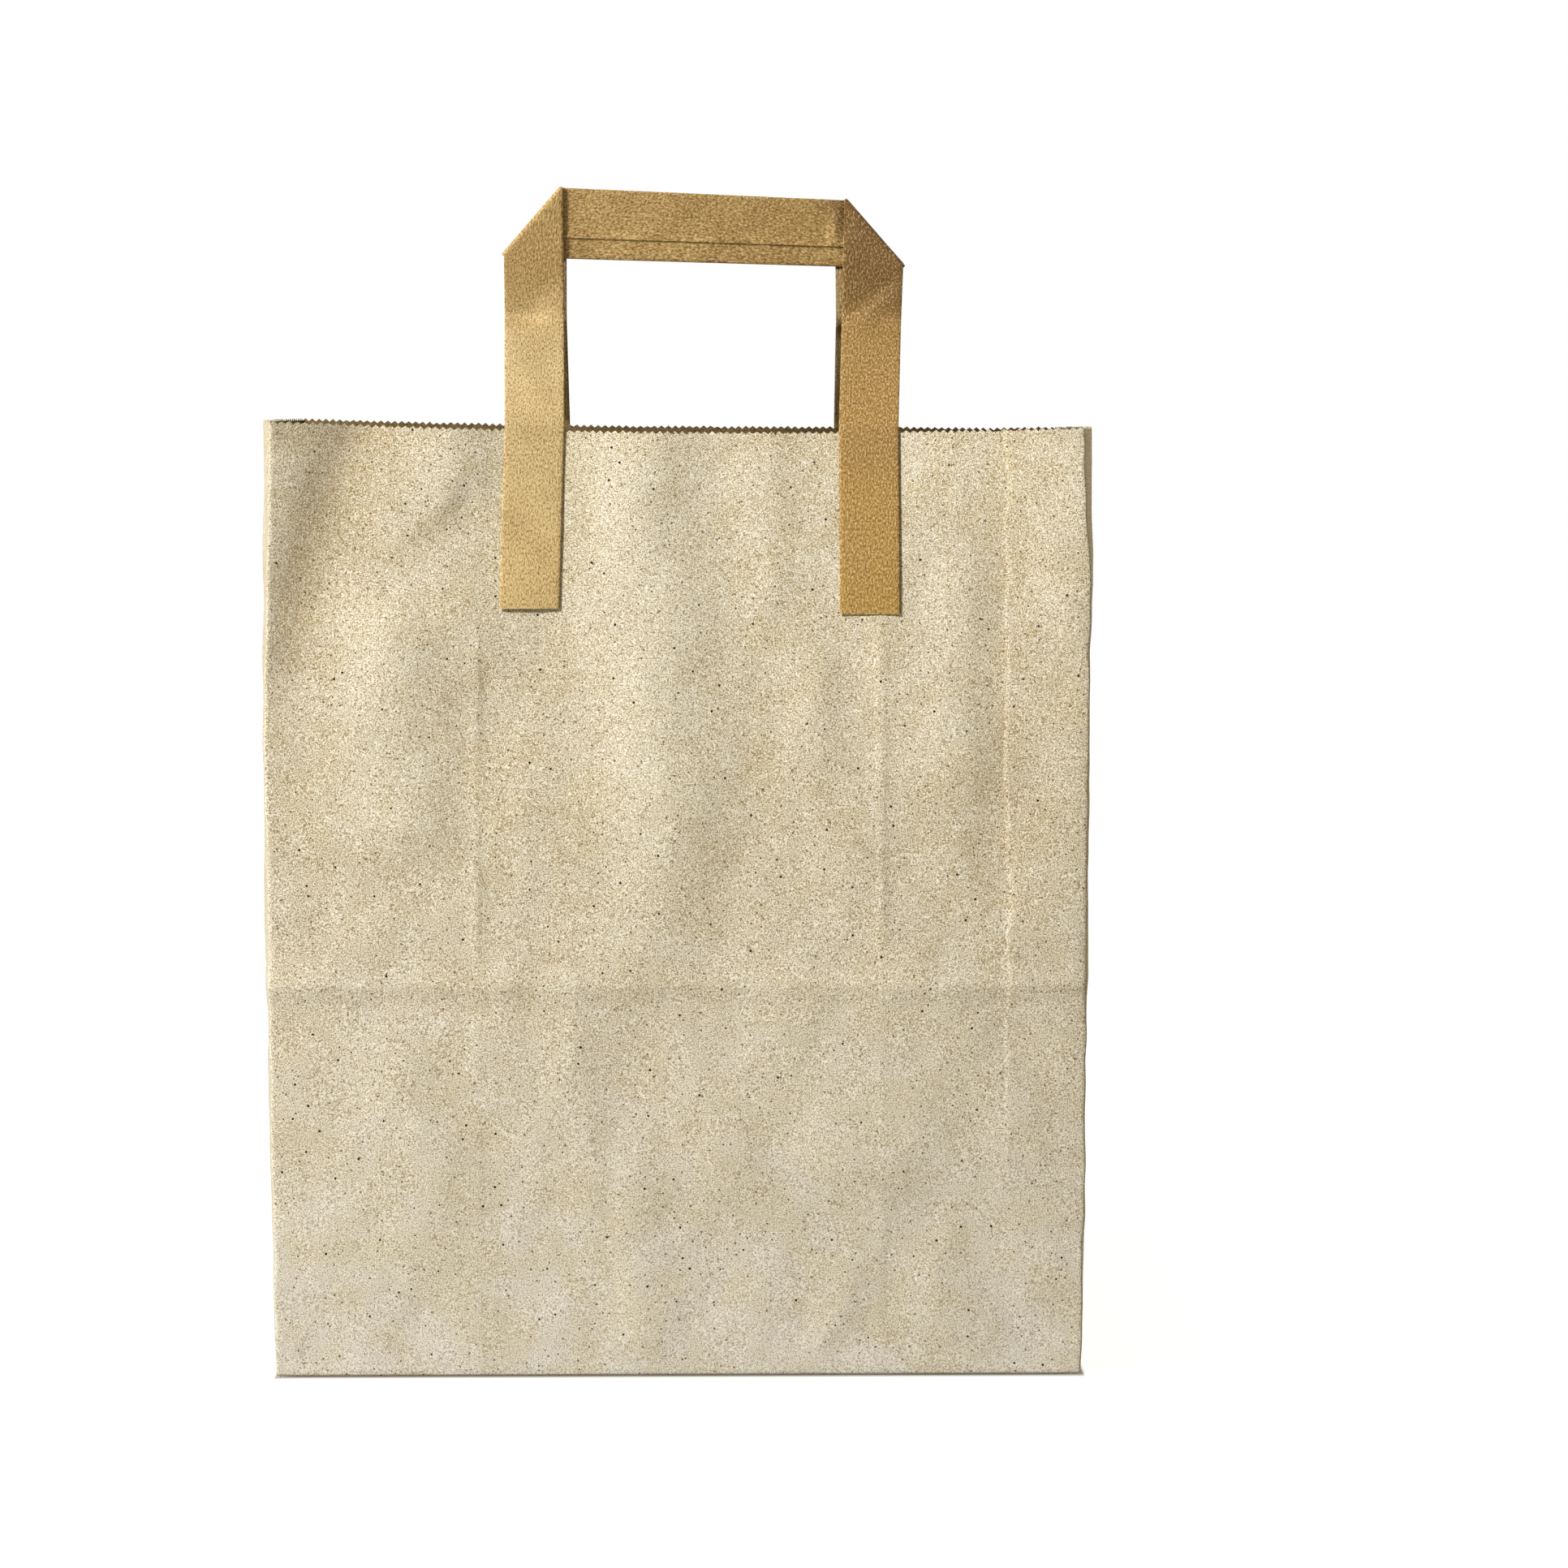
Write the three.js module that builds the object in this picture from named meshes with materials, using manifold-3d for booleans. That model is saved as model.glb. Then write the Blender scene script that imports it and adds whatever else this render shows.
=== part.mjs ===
// Brown kraft paper carrier bag: a block-bottom bag folded from one sheet, and two folded tape handles.
// Millimetres. +Z is up, the front faces -Y, and the origin is the middle of the base, on the floor.
import * as THREE from 'three';
import { mergeVertices } from 'three/addons/utils/BufferGeometryUtils.js';
import Module from 'manifold-3d';

const wasm = await Module();
wasm.setup();

// The bag's sheet
const BAG_WIDTH = 216;
const BAG_DEPTH = 108;
const BAG_HEIGHT = 254;
const PAPER = 0.2;

// The rim: the pinked cut, its slope from left to right, and its dip between the corners
const TOOTH_PITCH = 2;
const TOOTH_DEPTH = 0.7;
const RIM_SLOPE = 1.6;
const FRONT_RIM_DIP = 1.6;
const REAR_RIM_DIP = 0.7;

// The front and rear panels, drawn together by the handles above the cross crease
const PULL_IN = 12;
const PULL_ROUNDNESS = 2.6;
const PULL_GROWTH = 1.5;
const RIM_CORNER_INSET_X = 0.8;
const RIM_CORNER_INSET_Y = 0.5;

// The cross crease that runs round the bag
const CREASE_HEIGHT = 105;
const CREASE_HALF_WIDTH = 4.5;
const CREASE_PROUD = 0.7;
const GUSSET_CREASE_PROUD = 0.2;

// The gussets: they belly out, with an inward crease down the middle
const LEFT_BELLY = 6.4;
const RIGHT_BELLY = 4.8;
const BELLY_FULL_HEIGHT = 150;
const BELLY_GROWTH = 0.3;
const GUSSET_CREASE_DEPTH = 1.6;
const GUSSET_CREASE_HALF_WIDTH = 27;

// The glued long seam on the front panel
const SEAM_FROM_RIGHT_EDGE = 21;
const SEAM_UNDERLAP_GAP = 3;
const SEAM_STEP_RUN = 0.05;

// The base: two long flaps that overlap, over the gussets' tucked ends
const FLAP_OVERLAP = 24;
const FLAP_EDGE_INSET = 0.1;

// The handle tapes
const TAPE_WIDTH = 16;
const TAPE_THICKNESS = 0.4;
const TAPE_HEM_WIDTH = 11.3;
const TAPE_HEM_THICKNESS = 0.2;
const GLUE_GAP = 0.3;
const HANDLE_OFFSET = 6;
const LEG_SPACING = 90;
const LEG_GLUED_LENGTH = 49;
const LEG_RIM_CLEARANCE = 1.5;
const KINK_ABOVE_RIM = 30.4;
const KINK_HALF_GAP = 26;
const TOP_LEAN = 0.17;
const TOP_SPACING = 92;
const TOP_OFFSET = 6.7;
const LEFT_FOLD_ABOVE_RIM = 47;
const RIGHT_FOLD_ABOVE_RIM = 43;
const LEFT_FOLD_RISE = 17.4;
const RIGHT_FOLD_RISE = 19;
const FOLD_INNER_GAP = 0.3;

// How finely curved paper is divided
const PANEL_STEP = 18;
const LEG_STEP = 12;
const TOP_BAND = 4;
const ROUNDING = 1e-9;
const GUSSET_HALF_CELLS = 4;
const FOLD_STEPS = 4;
const BAR_STEPS = 4;
const MIDDLE_SHARE = 0.5 - ROUNDING;

const HALF_WIDTH = BAG_WIDTH / 2;
const HALF_DEPTH = BAG_DEPTH / 2;
const SEAM_X = HALF_WIDTH - SEAM_FROM_RIGHT_EDGE;
const SEAM_END_X = HALF_WIDTH - SEAM_UNDERLAP_GAP;
const FLAP_LENGTH = HALF_DEPTH + FLAP_OVERLAP / 2;

// Base plies, from the floor up: rear flap, front flap, the folded-under ply, the tucked gussets
const FRONT_FLAP_LEVEL = PAPER;
const WALL_FOOT = 2 * PAPER;
const FLOOR_LEVEL = 3 * PAPER;
const FLOOR_FLAP_LEVEL = FLOOR_LEVEL + PAPER / 2;
const TUCK_LEVEL = 4 * PAPER;
const PLY_BITE = PAPER / 2;

const LEG_CENTRES = [HANDLE_OFFSET - LEG_SPACING / 2, HANDLE_OFFSET + LEG_SPACING / 2];
const TOP_CENTRES = [TOP_OFFSET - TOP_SPACING / 2, TOP_OFFSET + TOP_SPACING / 2];
const LEG_FOOT = BAG_HEIGHT - FRONT_RIM_DIP - LEG_GLUED_LENGTH;

const SIDES = ['front', 'right', 'rear', 'left'];

// Returns the list with points added so that no step is longer than the given one.
function fillSteps(points, longest) {
  const sorted = [...new Set(points)].sort((a, b) => a - b);
  const filled = [sorted[0]];
  for (let i = 1; i < sorted.length; i += 1) {
    const pieces = Math.ceil((sorted[i] - sorted[i - 1]) / longest - ROUNDING);
    for (let k = 1; k <= pieces; k += 1) {
      filled.push(sorted[i - 1] + ((sorted[i] - sorted[i - 1]) * k) / pieces);
    }
  }
  return filled;
}

// 0 at the cross crease and below it, 1 at the rim: how far the panels have been drawn together.
function pullShare(z) {
  const above = Math.max(0, z - CREASE_HEIGHT) / (BAG_HEIGHT - CREASE_HEIGHT);
  return above ** PULL_GROWTH;
}

// How far the cross crease stands proud at a height, given how far it does at its middle.
function creaseProud(z, most) {
  return most * Math.max(0, 1 - Math.abs(z - CREASE_HEIGHT) / CREASE_HALF_WIDTH);
}

function panelPullIn(x, z) {
  return PULL_IN * (1 - Math.abs(x / HALF_WIDTH) ** PULL_ROUNDNESS) * pullShare(z);
}

// The gusset's belly. Below the two diagonal creases it is a flat triangle that leans out from the base.
function gussetBelly(y, z, belly) {
  const height = z - WALL_FOOT;
  const full = belly * Math.min(1, (Math.max(0, height) / BELLY_FULL_HEIGHT) ** BELLY_GROWTH);
  const apexBelly = belly * Math.min(1, (HALF_DEPTH / BELLY_FULL_HEIGHT) ** BELLY_GROWTH);
  const fromMiddle = Math.abs(y);
  if (height < HALF_DEPTH) {
    const onDiagonal = (apexBelly * height) / HALF_DEPTH;
    const pastDiagonal = Math.max(0, fromMiddle - (HALF_DEPTH - height)) / Math.max(height, PAPER);
    return onDiagonal * (1 - Math.min(1, pastDiagonal) ** 2);
  }
  const creaseShare = Math.max(0, 1 - fromMiddle / GUSSET_CREASE_HALF_WIDTH);
  const creaseGrowth = Math.min(1, (height - HALF_DEPTH) / HALF_DEPTH);
  const dome = full * (1 - (fromMiddle / HALF_DEPTH) ** 2);
  return dome - GUSSET_CREASE_DEPTH * creaseShare * creaseGrowth;
}

// A point of the sheet's outer face. The place along a side is x on a panel and y on a gusset.
function wallPoint(side, along, z) {
  const share = pullShare(z);
  const halfWidth = HALF_WIDTH - RIM_CORNER_INSET_X * share;
  const halfDepth = HALF_DEPTH - RIM_CORNER_INSET_Y * share;
  if (side === 'front' || side === 'rear') {
    const x = (along / HALF_WIDTH) * halfWidth;
    const out = halfDepth - panelPullIn(along, z) + creaseProud(z, CREASE_PROUD);
    return new THREE.Vector3(x, side === 'front' ? -out : out, z);
  }
  const y = (along / HALF_DEPTH) * halfDepth;
  const belly = gussetBelly(along, z, side === 'left' ? LEFT_BELLY : RIGHT_BELLY);
  const out = halfWidth + belly + creaseProud(z, GUSSET_CREASE_PROUD);
  return new THREE.Vector3(side === 'left' ? -out : out, y, z);
}

// The height of the cut edge, at its tooth tips.
function rimHeight(side, along) {
  const slope = (x) => BAG_HEIGHT - (RIM_SLOPE * x) / BAG_WIDTH;
  if (side === 'left' || side === 'right') {
    return slope(side === 'left' ? -HALF_WIDTH : HALF_WIDTH);
  }
  const dip = side === 'front' ? FRONT_RIM_DIP : REAR_RIM_DIP;
  return slope(along) - dip * (1 - (along / HALF_WIDTH) ** 2);
}

// The second ply of the long seam stands proud of the front panel.
function seamProud(side, along) {
  if (side !== 'front' || along <= SEAM_X) {
    return 0;
  }
  const ending = (HALF_WIDTH - along) / (HALF_WIDTH - SEAM_END_X);
  return PAPER * Math.min(1, Math.max(0, ending));
}

function isReversed(side) {
  return side === 'rear' || side === 'left';
}

// The places along one side where the sheet is divided, from its first corner up to its last.
function sidePlaces(side) {
  if (side === 'left' || side === 'right') {
    return fillSteps([-HALF_DEPTH, 0, HALF_DEPTH], HALF_DEPTH / GUSSET_HALF_CELLS);
  }
  const legEdges = LEG_CENTRES.flatMap((x) => [x - TAPE_WIDTH / 2, x + TAPE_WIDTH / 2]);
  const seam = side === 'front' ? [SEAM_X, SEAM_X + SEAM_STEP_RUN, SEAM_END_X] : [];
  return fillSteps([-HALF_WIDTH, ...legEdges, ...seam, HALF_WIDTH], PANEL_STEP);
}

// Two places for each tooth of the cut edge: a notch and a tip.
function toothPlaces(side) {
  const half = side === 'left' || side === 'right' ? HALF_DEPTH : HALF_WIDTH;
  const teeth = Math.round((2 * half) / TOOTH_PITCH);
  return Array.from({ length: 2 * teeth + 1 }, (_, i) => -half + (half * i) / teeth);
}

// The levels where the sheet is divided, up to the last one below the cut edge.
function wallLevels() {
  const gussetRows = Array.from({ length: GUSSET_HALF_CELLS + 1 },
    (_, i) => WALL_FOOT + (HALF_DEPTH * i) / GUSSET_HALF_CELLS);
  const creaseRows = [-1, 0, 1].map((i) => CREASE_HEIGHT + i * CREASE_HALF_WIDTH);
  const lowestRim = BAG_HEIGHT - RIM_SLOPE / 2 - FRONT_RIM_DIP - TOOTH_DEPTH;
  const legRows = fillSteps([LEG_FOOT, lowestRim - TOP_BAND], LEG_STEP);
  return fillSteps([...gussetRows, ...creaseRows, ...legRows], PANEL_STEP);
}

// One ring round the bag: each point has its side, its place and its height.
function makeRing(placesOf, heightOf) {
  const ring = [];
  for (const side of SIDES) {
    const places = placesOf(side);
    const ordered = isReversed(side) ? [...places].reverse() : places;
    ordered.slice(0, -1).forEach((along, i) => {
      ring.push({ side, along, share: i / (ordered.length - 1), z: heightOf(side, along, i) });
    });
  }
  const points = ring.map(({ side, along, z }) => wallPoint(side, along, z));
  return ring.map((station, i) => {
    const before = points[(i + points.length - 1) % points.length];
    const after = points[(i + 1) % points.length];
    return { ...station, ...thickened(before, points[i], after, seamProud(station.side, station.along)) };
  });
}

// The outer and inner face points of a ring, with the sheet's thickness kept on both sides of each point.
function thickened(before, point, after, proud) {
  const outward = (a, b) => new THREE.Vector2(b.y - a.y, a.x - b.x).normalize();
  const first = outward(before, point);
  const second = outward(point, after);
  const middle = first.clone().add(second).normalize();
  const stretch = 1 / middle.dot(first);
  const moved = (distance) => new THREE.Vector3(
    point.x + middle.x * stretch * distance, point.y + middle.y * stretch * distance, point.z);
  return { outer: moved(proud), inner: moved(-PAPER) };
}

// A mesh under construction: points, and triangles that run counter-clockwise seen from outside.
class Surface {
  constructor() {
    this.points = [];
    this.triangles = [];
  }

  add(point) {
    this.points.push(point);
    return this.points.length - 1;
  }

  // A triangle given counter-clockwise, or clockwise where it isn't facing out.
  triangle(a, b, c, facesOut = true) {
    this.triangles.push(facesOut ? [a, b, c] : [a, c, b]);
  }

  // Two triangles that share the edge from a to c.
  quad([a, b, c, d], facesOut = true) {
    this.triangle(a, b, c, facesOut);
    this.triangle(a, c, d, facesOut);
  }

  geometry() {
    const geometry = new THREE.BufferGeometry();
    geometry.setFromPoints(this.points);
    geometry.setIndex(this.triangles.flat());
    return geometry;
  }
}

// Joins two rings with the same stations. Past a side's middle the squares turn their diagonal,
// so that on a gusset it runs along the 45 degree crease.
function joinRings(surface, lower, upper, ring, outside) {
  const count = ring.length;
  for (let i = 0; i < count; i += 1) {
    const next = (i + 1) % count;
    const corners = [lower[i], lower[next], upper[next], upper[i]];
    const pastMiddle = ring[i].share >= MIDDLE_SHARE;
    surface.quad(pastMiddle ? [...corners.slice(1), corners[0]] : corners, outside);
  }
}

// Joins a coarse ring to a fine one, side by side, by moving on along whichever lags behind.
function stitchRings(surface, lower, lowerRing, upper, upperRing, outside) {
  const sideRun = (ring, indices, side) => {
    const start = ring.findIndex((station) => station.side === side);
    const length = ring.filter((station) => station.side === side).length;
    return Array.from({ length: length + 1 }, (_, i) => {
      const place = (start + i) % ring.length;
      const along = ring[place].side === side ? ring[place].along : endOfSide(side);
      return { index: indices[place], travelled: Math.abs(along - startOfSide(side)) };
    });
  };
  for (const side of SIDES) {
    const low = sideRun(lowerRing, lower, side);
    const high = sideRun(upperRing, upper, side);
    let i = 0;
    let j = 0;
    while (i < low.length - 1 || j < high.length - 1) {
      const lowNext = i < low.length - 1 ? low[i + 1].travelled : Infinity;
      const highNext = j < high.length - 1 ? high[j + 1].travelled : Infinity;
      if (lowNext < highNext) {
        surface.triangle(low[i].index, low[i + 1].index, high[j].index, outside);
        i += 1;
      } else {
        surface.triangle(low[i].index, high[j + 1].index, high[j].index, outside);
        j += 1;
      }
    }
  }
}

function startOfSide(side) {
  const half = side === 'left' || side === 'right' ? HALF_DEPTH : HALF_WIDTH;
  return isReversed(side) ? half : -half;
}

function endOfSide(side) {
  return -startOfSide(side);
}

// The four walls and the ply of the base that they share, as one closed sheet.
function walls() {
  const surface = new Surface();
  const levels = wallLevels();
  const outerRings = [];
  const innerRings = [];
  let ring = [];
  for (const z of levels) {
    ring = makeRing(sidePlaces, () => z);
    outerRings.push(ring.map((station) => surface.add(station.outer)));
    const innerZ = z === levels[0] ? FLOOR_LEVEL : z;
    innerRings.push(ring.map((station) => surface.add(station.inner.clone().setZ(innerZ))));
  }
  for (let i = 1; i < levels.length; i += 1) {
    joinRings(surface, outerRings[i - 1], outerRings[i], ring, true);
    joinRings(surface, innerRings[i - 1], innerRings[i], ring, false);
  }
  const notched = (side, along, i) => rimHeight(side, along) - (i % 2 === 0 ? TOOTH_DEPTH : 0);
  const rim = makeRing(toothPlaces, notched);
  const outerRim = rim.map((station) => surface.add(station.outer));
  const innerRim = rim.map((station) => surface.add(station.inner));
  stitchRings(surface, outerRings.at(-1), ring, outerRim, rim, true);
  stitchRings(surface, innerRings.at(-1), ring, innerRim, rim, false);
  for (let i = 0; i < rim.length; i += 1) {
    const next = (i + 1) % rim.length;
    surface.quad([outerRim[i], outerRim[next], innerRim[next], innerRim[i]]);
  }
  const under = surface.add(new THREE.Vector3(0, 0, WALL_FOOT));
  const floor = surface.add(new THREE.Vector3(0, 0, FLOOR_LEVEL));
  for (let i = 0; i < ring.length; i += 1) {
    const next = (i + 1) % ring.length;
    surface.triangle(outerRings[0][next], outerRings[0][i], under);
    surface.triangle(innerRings[0][i], innerRings[0][next], floor);
  }
  return surface.geometry();
}

// A flat ply with the given corners, from one level up to another.
function ply(corners, bottom, top) {
  const outline = new THREE.Shape(corners.map(([x, y]) => new THREE.Vector2(x, y)));
  const geometry = new THREE.ExtrudeGeometry(outline, { depth: top - bottom, bevelEnabled: false });
  return geometry.translate(0, 0, bottom);
}

// A long flap of the base, its ends folded under at 45 degrees. Side is -1 at the front, 1 at the rear.
function baseFlap(side, bottom) {
  const root = side * (HALF_DEPTH - FLAP_EDGE_INSET);
  const tip = side * (HALF_DEPTH - FLAP_LENGTH);
  const wide = HALF_WIDTH - FLAP_EDGE_INSET;
  const narrow = HALF_WIDTH - FLAP_LENGTH;
  const corners = [[-wide, root], [wide, root], [narrow, tip], [-narrow, tip]];
  return ply(side < 0 ? corners : corners.reverse(), bottom, WALL_FOOT + PLY_BITE);
}

function rectangle(x0, y0, x1, y1) {
  return [[x0, y0], [x1, y0], [x1, y1], [x0, y1]];
}

// The plies seen from inside: both gussets' tucked ends, and the front flap between them.
function floorPlies() {
  const edge = HALF_DEPTH - PAPER - FLAP_EDGE_INSET;
  const wall = HALF_WIDTH - PAPER - FLAP_EDGE_INSET;
  const tuckEnd = HALF_WIDTH - FLAP_LENGTH;
  const flapEnd = tuckEnd + PLY_BITE;
  const bottom = FLOOR_LEVEL - PLY_BITE;
  return [
    ply(rectangle(-wall, -edge, -tuckEnd, edge), bottom, TUCK_LEVEL),
    ply(rectangle(tuckEnd, -edge, wall, edge), bottom, TUCK_LEVEL),
    ply(rectangle(-flapEnd, -edge, flapEnd, FLAP_LENGTH - HALF_DEPTH), bottom, FLOOR_FLAP_LEVEL),
  ];
}

function solidOf(geometry) {
  const bare = geometry.clone();
  bare.deleteAttribute('normal');
  bare.deleteAttribute('uv');
  const merged = mergeVertices(bare);
  return new wasm.Manifold(new wasm.Mesh({
    numProp: 3,
    vertProperties: new Float32Array(merged.attributes.position.array),
    triVerts: new Uint32Array(merged.index.array),
  }));
}

function geometryOf(solid) {
  const { vertProperties, triVerts } = solid.getMesh();
  const geometry = new THREE.BufferGeometry();
  geometry.setAttribute('position', new THREE.BufferAttribute(vertProperties, 3));
  geometry.setIndex(new THREE.BufferAttribute(triVerts, 1));
  return geometry;
}

function bagBody() {
  const plies = [baseFlap(-1, FRONT_FLAP_LEVEL), baseFlap(1, 0), ...floorPlies()];
  const body = plies.reduce((sum, geometry) => sum.add(solidOf(geometry)), solidOf(walls()));
  return geometryOf(body);
}

// One line across the tape: its outer edge a, its inner edge b, and the way through its thickness.
function station(a, b, through) {
  return { a, b, through };
}

// The stations of one leg, from its glued foot up to its 45 degree fold. Hand is -1 left, 1 right.
function legStations(side, hand) {
  const facing = side === 'front' ? -1 : 1;
  const through = new THREE.Vector3(0, -facing, 0);
  const centre = LEG_CENTRES[hand < 0 ? 0 : 1];
  const topCentre = TOP_CENTRES[hand < 0 ? 0 : 1];
  const tape = TAPE_THICKNESS + TAPE_HEM_THICKNESS;
  const outerEdge = centre + (hand * TAPE_WIDTH) / 2;
  const innerEdge = centre - (hand * TAPE_WIDTH) / 2;
  const onWall = (x, z) => {
    const point = wallPoint(side, x, z);
    point.y += facing * (GLUE_GAP + tape);
    return point;
  };
  const level = (z) => station(onWall(outerEdge, z), onWall(innerEdge, z), through);
  const rim = rimHeight(side, centre);
  const glued = wallLevels().filter((z) => z > LEG_FOOT - PAPER).map(level);
  const leaving = level(rim + LEG_RIM_CLEARANCE);
  const free = (x, halfGap, above) => new THREE.Vector3(x, facing * halfGap, rim + above);
  const topOuter = topCentre + (hand * TAPE_WIDTH) / 2;
  const topInner = topCentre - (hand * TAPE_WIDTH) / 2;
  const foldAbove = hand < 0 ? LEFT_FOLD_ABOVE_RIM : RIGHT_FOLD_ABOVE_RIM;
  const foldRise = hand < 0 ? LEFT_FOLD_RISE : RIGHT_FOLD_RISE;
  const kinkShare = KINK_ABOVE_RIM / foldAbove;
  const between = (low, high) => low + (high - low) * kinkShare;
  const kink = station(
    free(between(outerEdge, topOuter), KINK_HALF_GAP, KINK_ABOVE_RIM),
    free(between(innerEdge, topInner), KINK_HALF_GAP, KINK_ABOVE_RIM),
    through,
  );
  const leaningOut = (above) => KINK_HALF_GAP + TOP_LEAN * (above - KINK_ABOVE_RIM);
  const fold = station(
    free(topOuter, leaningOut(foldAbove), foldAbove),
    free(topInner, leaningOut(foldAbove + foldRise), foldAbove + foldRise),
    through,
  );
  return [...glued, leaving, kink, fold];
}

// The half turn of the tape round its 45 degree fold, from the leg to the bar behind it.
function foldStations(fold, side, hand) {
  const facing = side === 'front' ? -1 : 1;
  const tape = TAPE_THICKNESS + TAPE_HEM_THICKNESS;
  const radius = tape + FOLD_INNER_GAP / 2;
  const backward = new THREE.Vector3(0, -facing, 0);
  const line = fold.b.clone().sub(fold.a).setY(0).normalize();
  const beyond = new THREE.Vector3(hand * line.z, 0, -hand * line.x);
  if (beyond.z < 0) {
    beyond.negate();
  }
  const turned = (point, angle) => point.clone()
    .addScaledVector(backward, radius * (1 - Math.cos(angle)))
    .addScaledVector(beyond, radius * Math.sin(angle));
  return Array.from({ length: FOLD_STEPS }, (_, i) => {
    const angle = (Math.PI * (i + 1)) / FOLD_STEPS;
    const through = backward.clone().multiplyScalar(Math.cos(angle));
    through.addScaledVector(beyond, -Math.sin(angle));
    return station(turned(fold.a, angle), turned(fold.b, angle), through);
  });
}

function barStations(from, to) {
  return Array.from({ length: BAR_STEPS - 1 }, (_, i) => {
    const share = (i + 1) / BAR_STEPS;
    return station(from.a.clone().lerp(to.a, share), from.b.clone().lerp(to.b, share), from.through);
  });
}

// The tape is folded in three along its length, so its back has a hem that ends short of the outer edge.
function tapeSection({ a, b, through }) {
  const hemShare = 1 - TAPE_HEM_WIDTH / TAPE_WIDTH;
  const full = TAPE_THICKNESS + TAPE_HEM_THICKNESS;
  const hemEdge = a.clone().lerp(b, hemShare);
  const moved = (point, distance) => point.clone().addScaledVector(through, distance);
  return [
    moved(a, 0),
    moved(b, 0),
    moved(b, full),
    moved(hemEdge, full),
    moved(hemEdge, TAPE_THICKNESS),
    moved(a, TAPE_THICKNESS),
  ];
}

// One folded tape: up the left leg, over its fold, along the bar behind both legs, down the right leg.
function handleTape(side) {
  const left = legStations(side, -1);
  const right = legStations(side, 1);
  const leftFold = foldStations(left.at(-1), side, -1);
  const rightFold = foldStations(right.at(-1), side, 1);
  const bar = barStations(leftFold.at(-1), rightFold.at(-1));
  const stations = [...left, ...leftFold, ...bar, ...rightFold.reverse(), ...right.reverse()];
  const surface = new Surface();
  const sections = stations.map((line) => tapeSection(line).map((point) => surface.add(point)));
  const count = sections[0].length;
  const facesOut = side === 'front';
  for (let i = 1; i < sections.length; i += 1) {
    for (let k = 0; k < count; k += 1) {
      const next = (k + 1) % count;
      const corners = [sections[i - 1][k], sections[i - 1][next], sections[i][next], sections[i][k]];
      surface.quad(corners, facesOut);
    }
  }
  capTape(surface, sections[0], !facesOut);
  capTape(surface, sections.at(-1), facesOut);
  return surface.geometry();
}

// Closes a cut end of the tape: the main plies, then the hem on their back.
function capTape(surface, section, facesOut) {
  const [a, b, hemB, hemOuter, hemRoot, backA] = section;
  surface.quad([a, b, hemRoot, backA], facesOut);
  surface.quad([b, hemB, hemOuter, hemRoot], facesOut);
}

const KRAFT = new THREE.MeshStandardMaterial({ color: 0xc8b898, roughness: 0.85, metalness: 0 });
const TAPE_KRAFT = new THREE.MeshStandardMaterial({ color: 0xb0905a, roughness: 0.7, metalness: 0 });

function named(name, geometry, material) {
  const mesh = new THREE.Mesh(geometry, material);
  mesh.name = name;
  return mesh;
}

const bag = new THREE.Group();
bag.add(named('bag_body', bagBody(), KRAFT));
bag.add(named('front_handle', handleTape('front'), TAPE_KRAFT));
bag.add(named('rear_handle', handleTape('rear'), TAPE_KRAFT));

export default bag;
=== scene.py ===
"""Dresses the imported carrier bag: its folded kraft sheet, its two tape handles, their paper, the light
and the camera. Lengths are in millimetres until a mesh is made."""

import math
from collections import namedtuple

import bpy
import numpy as np
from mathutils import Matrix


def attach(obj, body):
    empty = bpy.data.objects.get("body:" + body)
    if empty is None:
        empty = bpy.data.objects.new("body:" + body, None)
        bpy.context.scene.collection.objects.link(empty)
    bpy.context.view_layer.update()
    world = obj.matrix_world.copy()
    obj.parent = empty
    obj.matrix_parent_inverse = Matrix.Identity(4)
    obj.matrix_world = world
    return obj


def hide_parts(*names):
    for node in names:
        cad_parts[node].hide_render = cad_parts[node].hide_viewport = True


MM = 0.001
FRONT, REAR = -1, 1
LEFT, RIGHT = -1, 1

# The bag's sheet, as in the part's source
BAG_WIDTH = 216.0
BAG_DEPTH = 108.0
BAG_HEIGHT = 254.0
PAPER = 0.2
HALF_WIDTH = BAG_WIDTH / 2
HALF_DEPTH = BAG_DEPTH / 2
PERIMETER = 2 * (BAG_WIDTH + BAG_DEPTH)
RIGHT_START = BAG_WIDTH
REAR_START = BAG_WIDTH + BAG_DEPTH
LEFT_START = 2 * BAG_WIDTH + BAG_DEPTH
CORNERS = (0.0, RIGHT_START, REAR_START, LEFT_START)

# The pinked cut at the rim
TOOTH_PITCH = 2.0
TOOTH_DEPTH = 0.7
RIM_SLOPE = 1.6
CORNER_RIM_LIFT = 0.5
FRONT_RIM_DIP = 1.6
REAR_RIM_DIP = 0.7
REAR_RIGHT_DROP = 0.8
REAR_RIGHT_FROM = 55.0
REAR_RIGHT_RUN = 35.0

# The panels, drawn together by the handles
PULL_IN = 12.0
PULL_ROUNDNESS = 2.6
PULL_GROWTH = 1.5
RIM_CORNER_INSET_X = 0.8
RIM_CORNER_INSET_Y = 0.5

# The cross crease
CREASE_HEIGHT = 105.0
CREASE_HALF_WIDTH = 4.5
CREASE_PROUD = 0.7
GUSSET_CREASE_PROUD = 0.2
CREASE_LASTING = 0.4
CREASE_LASTING_RUN = 60.0
CREASE_MIDDLE_SHARE = 0.6

# The gussets
BELLY_HEIGHTS = (0, 54, 105, 150, 168, 195, 225, 254)
BELLIES = {
    LEFT: (0, 4.0, 5.1, 5.9, 6.3, 5.8, 5.6, 5.5),
    RIGHT: (0, 2.6, 3.3, 3.9, 4.1, 4.6, 5.4, 5.3),
}
GUSSET_CREASE_DEPTH = 1.6
GUSSET_CREASE_HALF_WIDTH = 27.0

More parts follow.
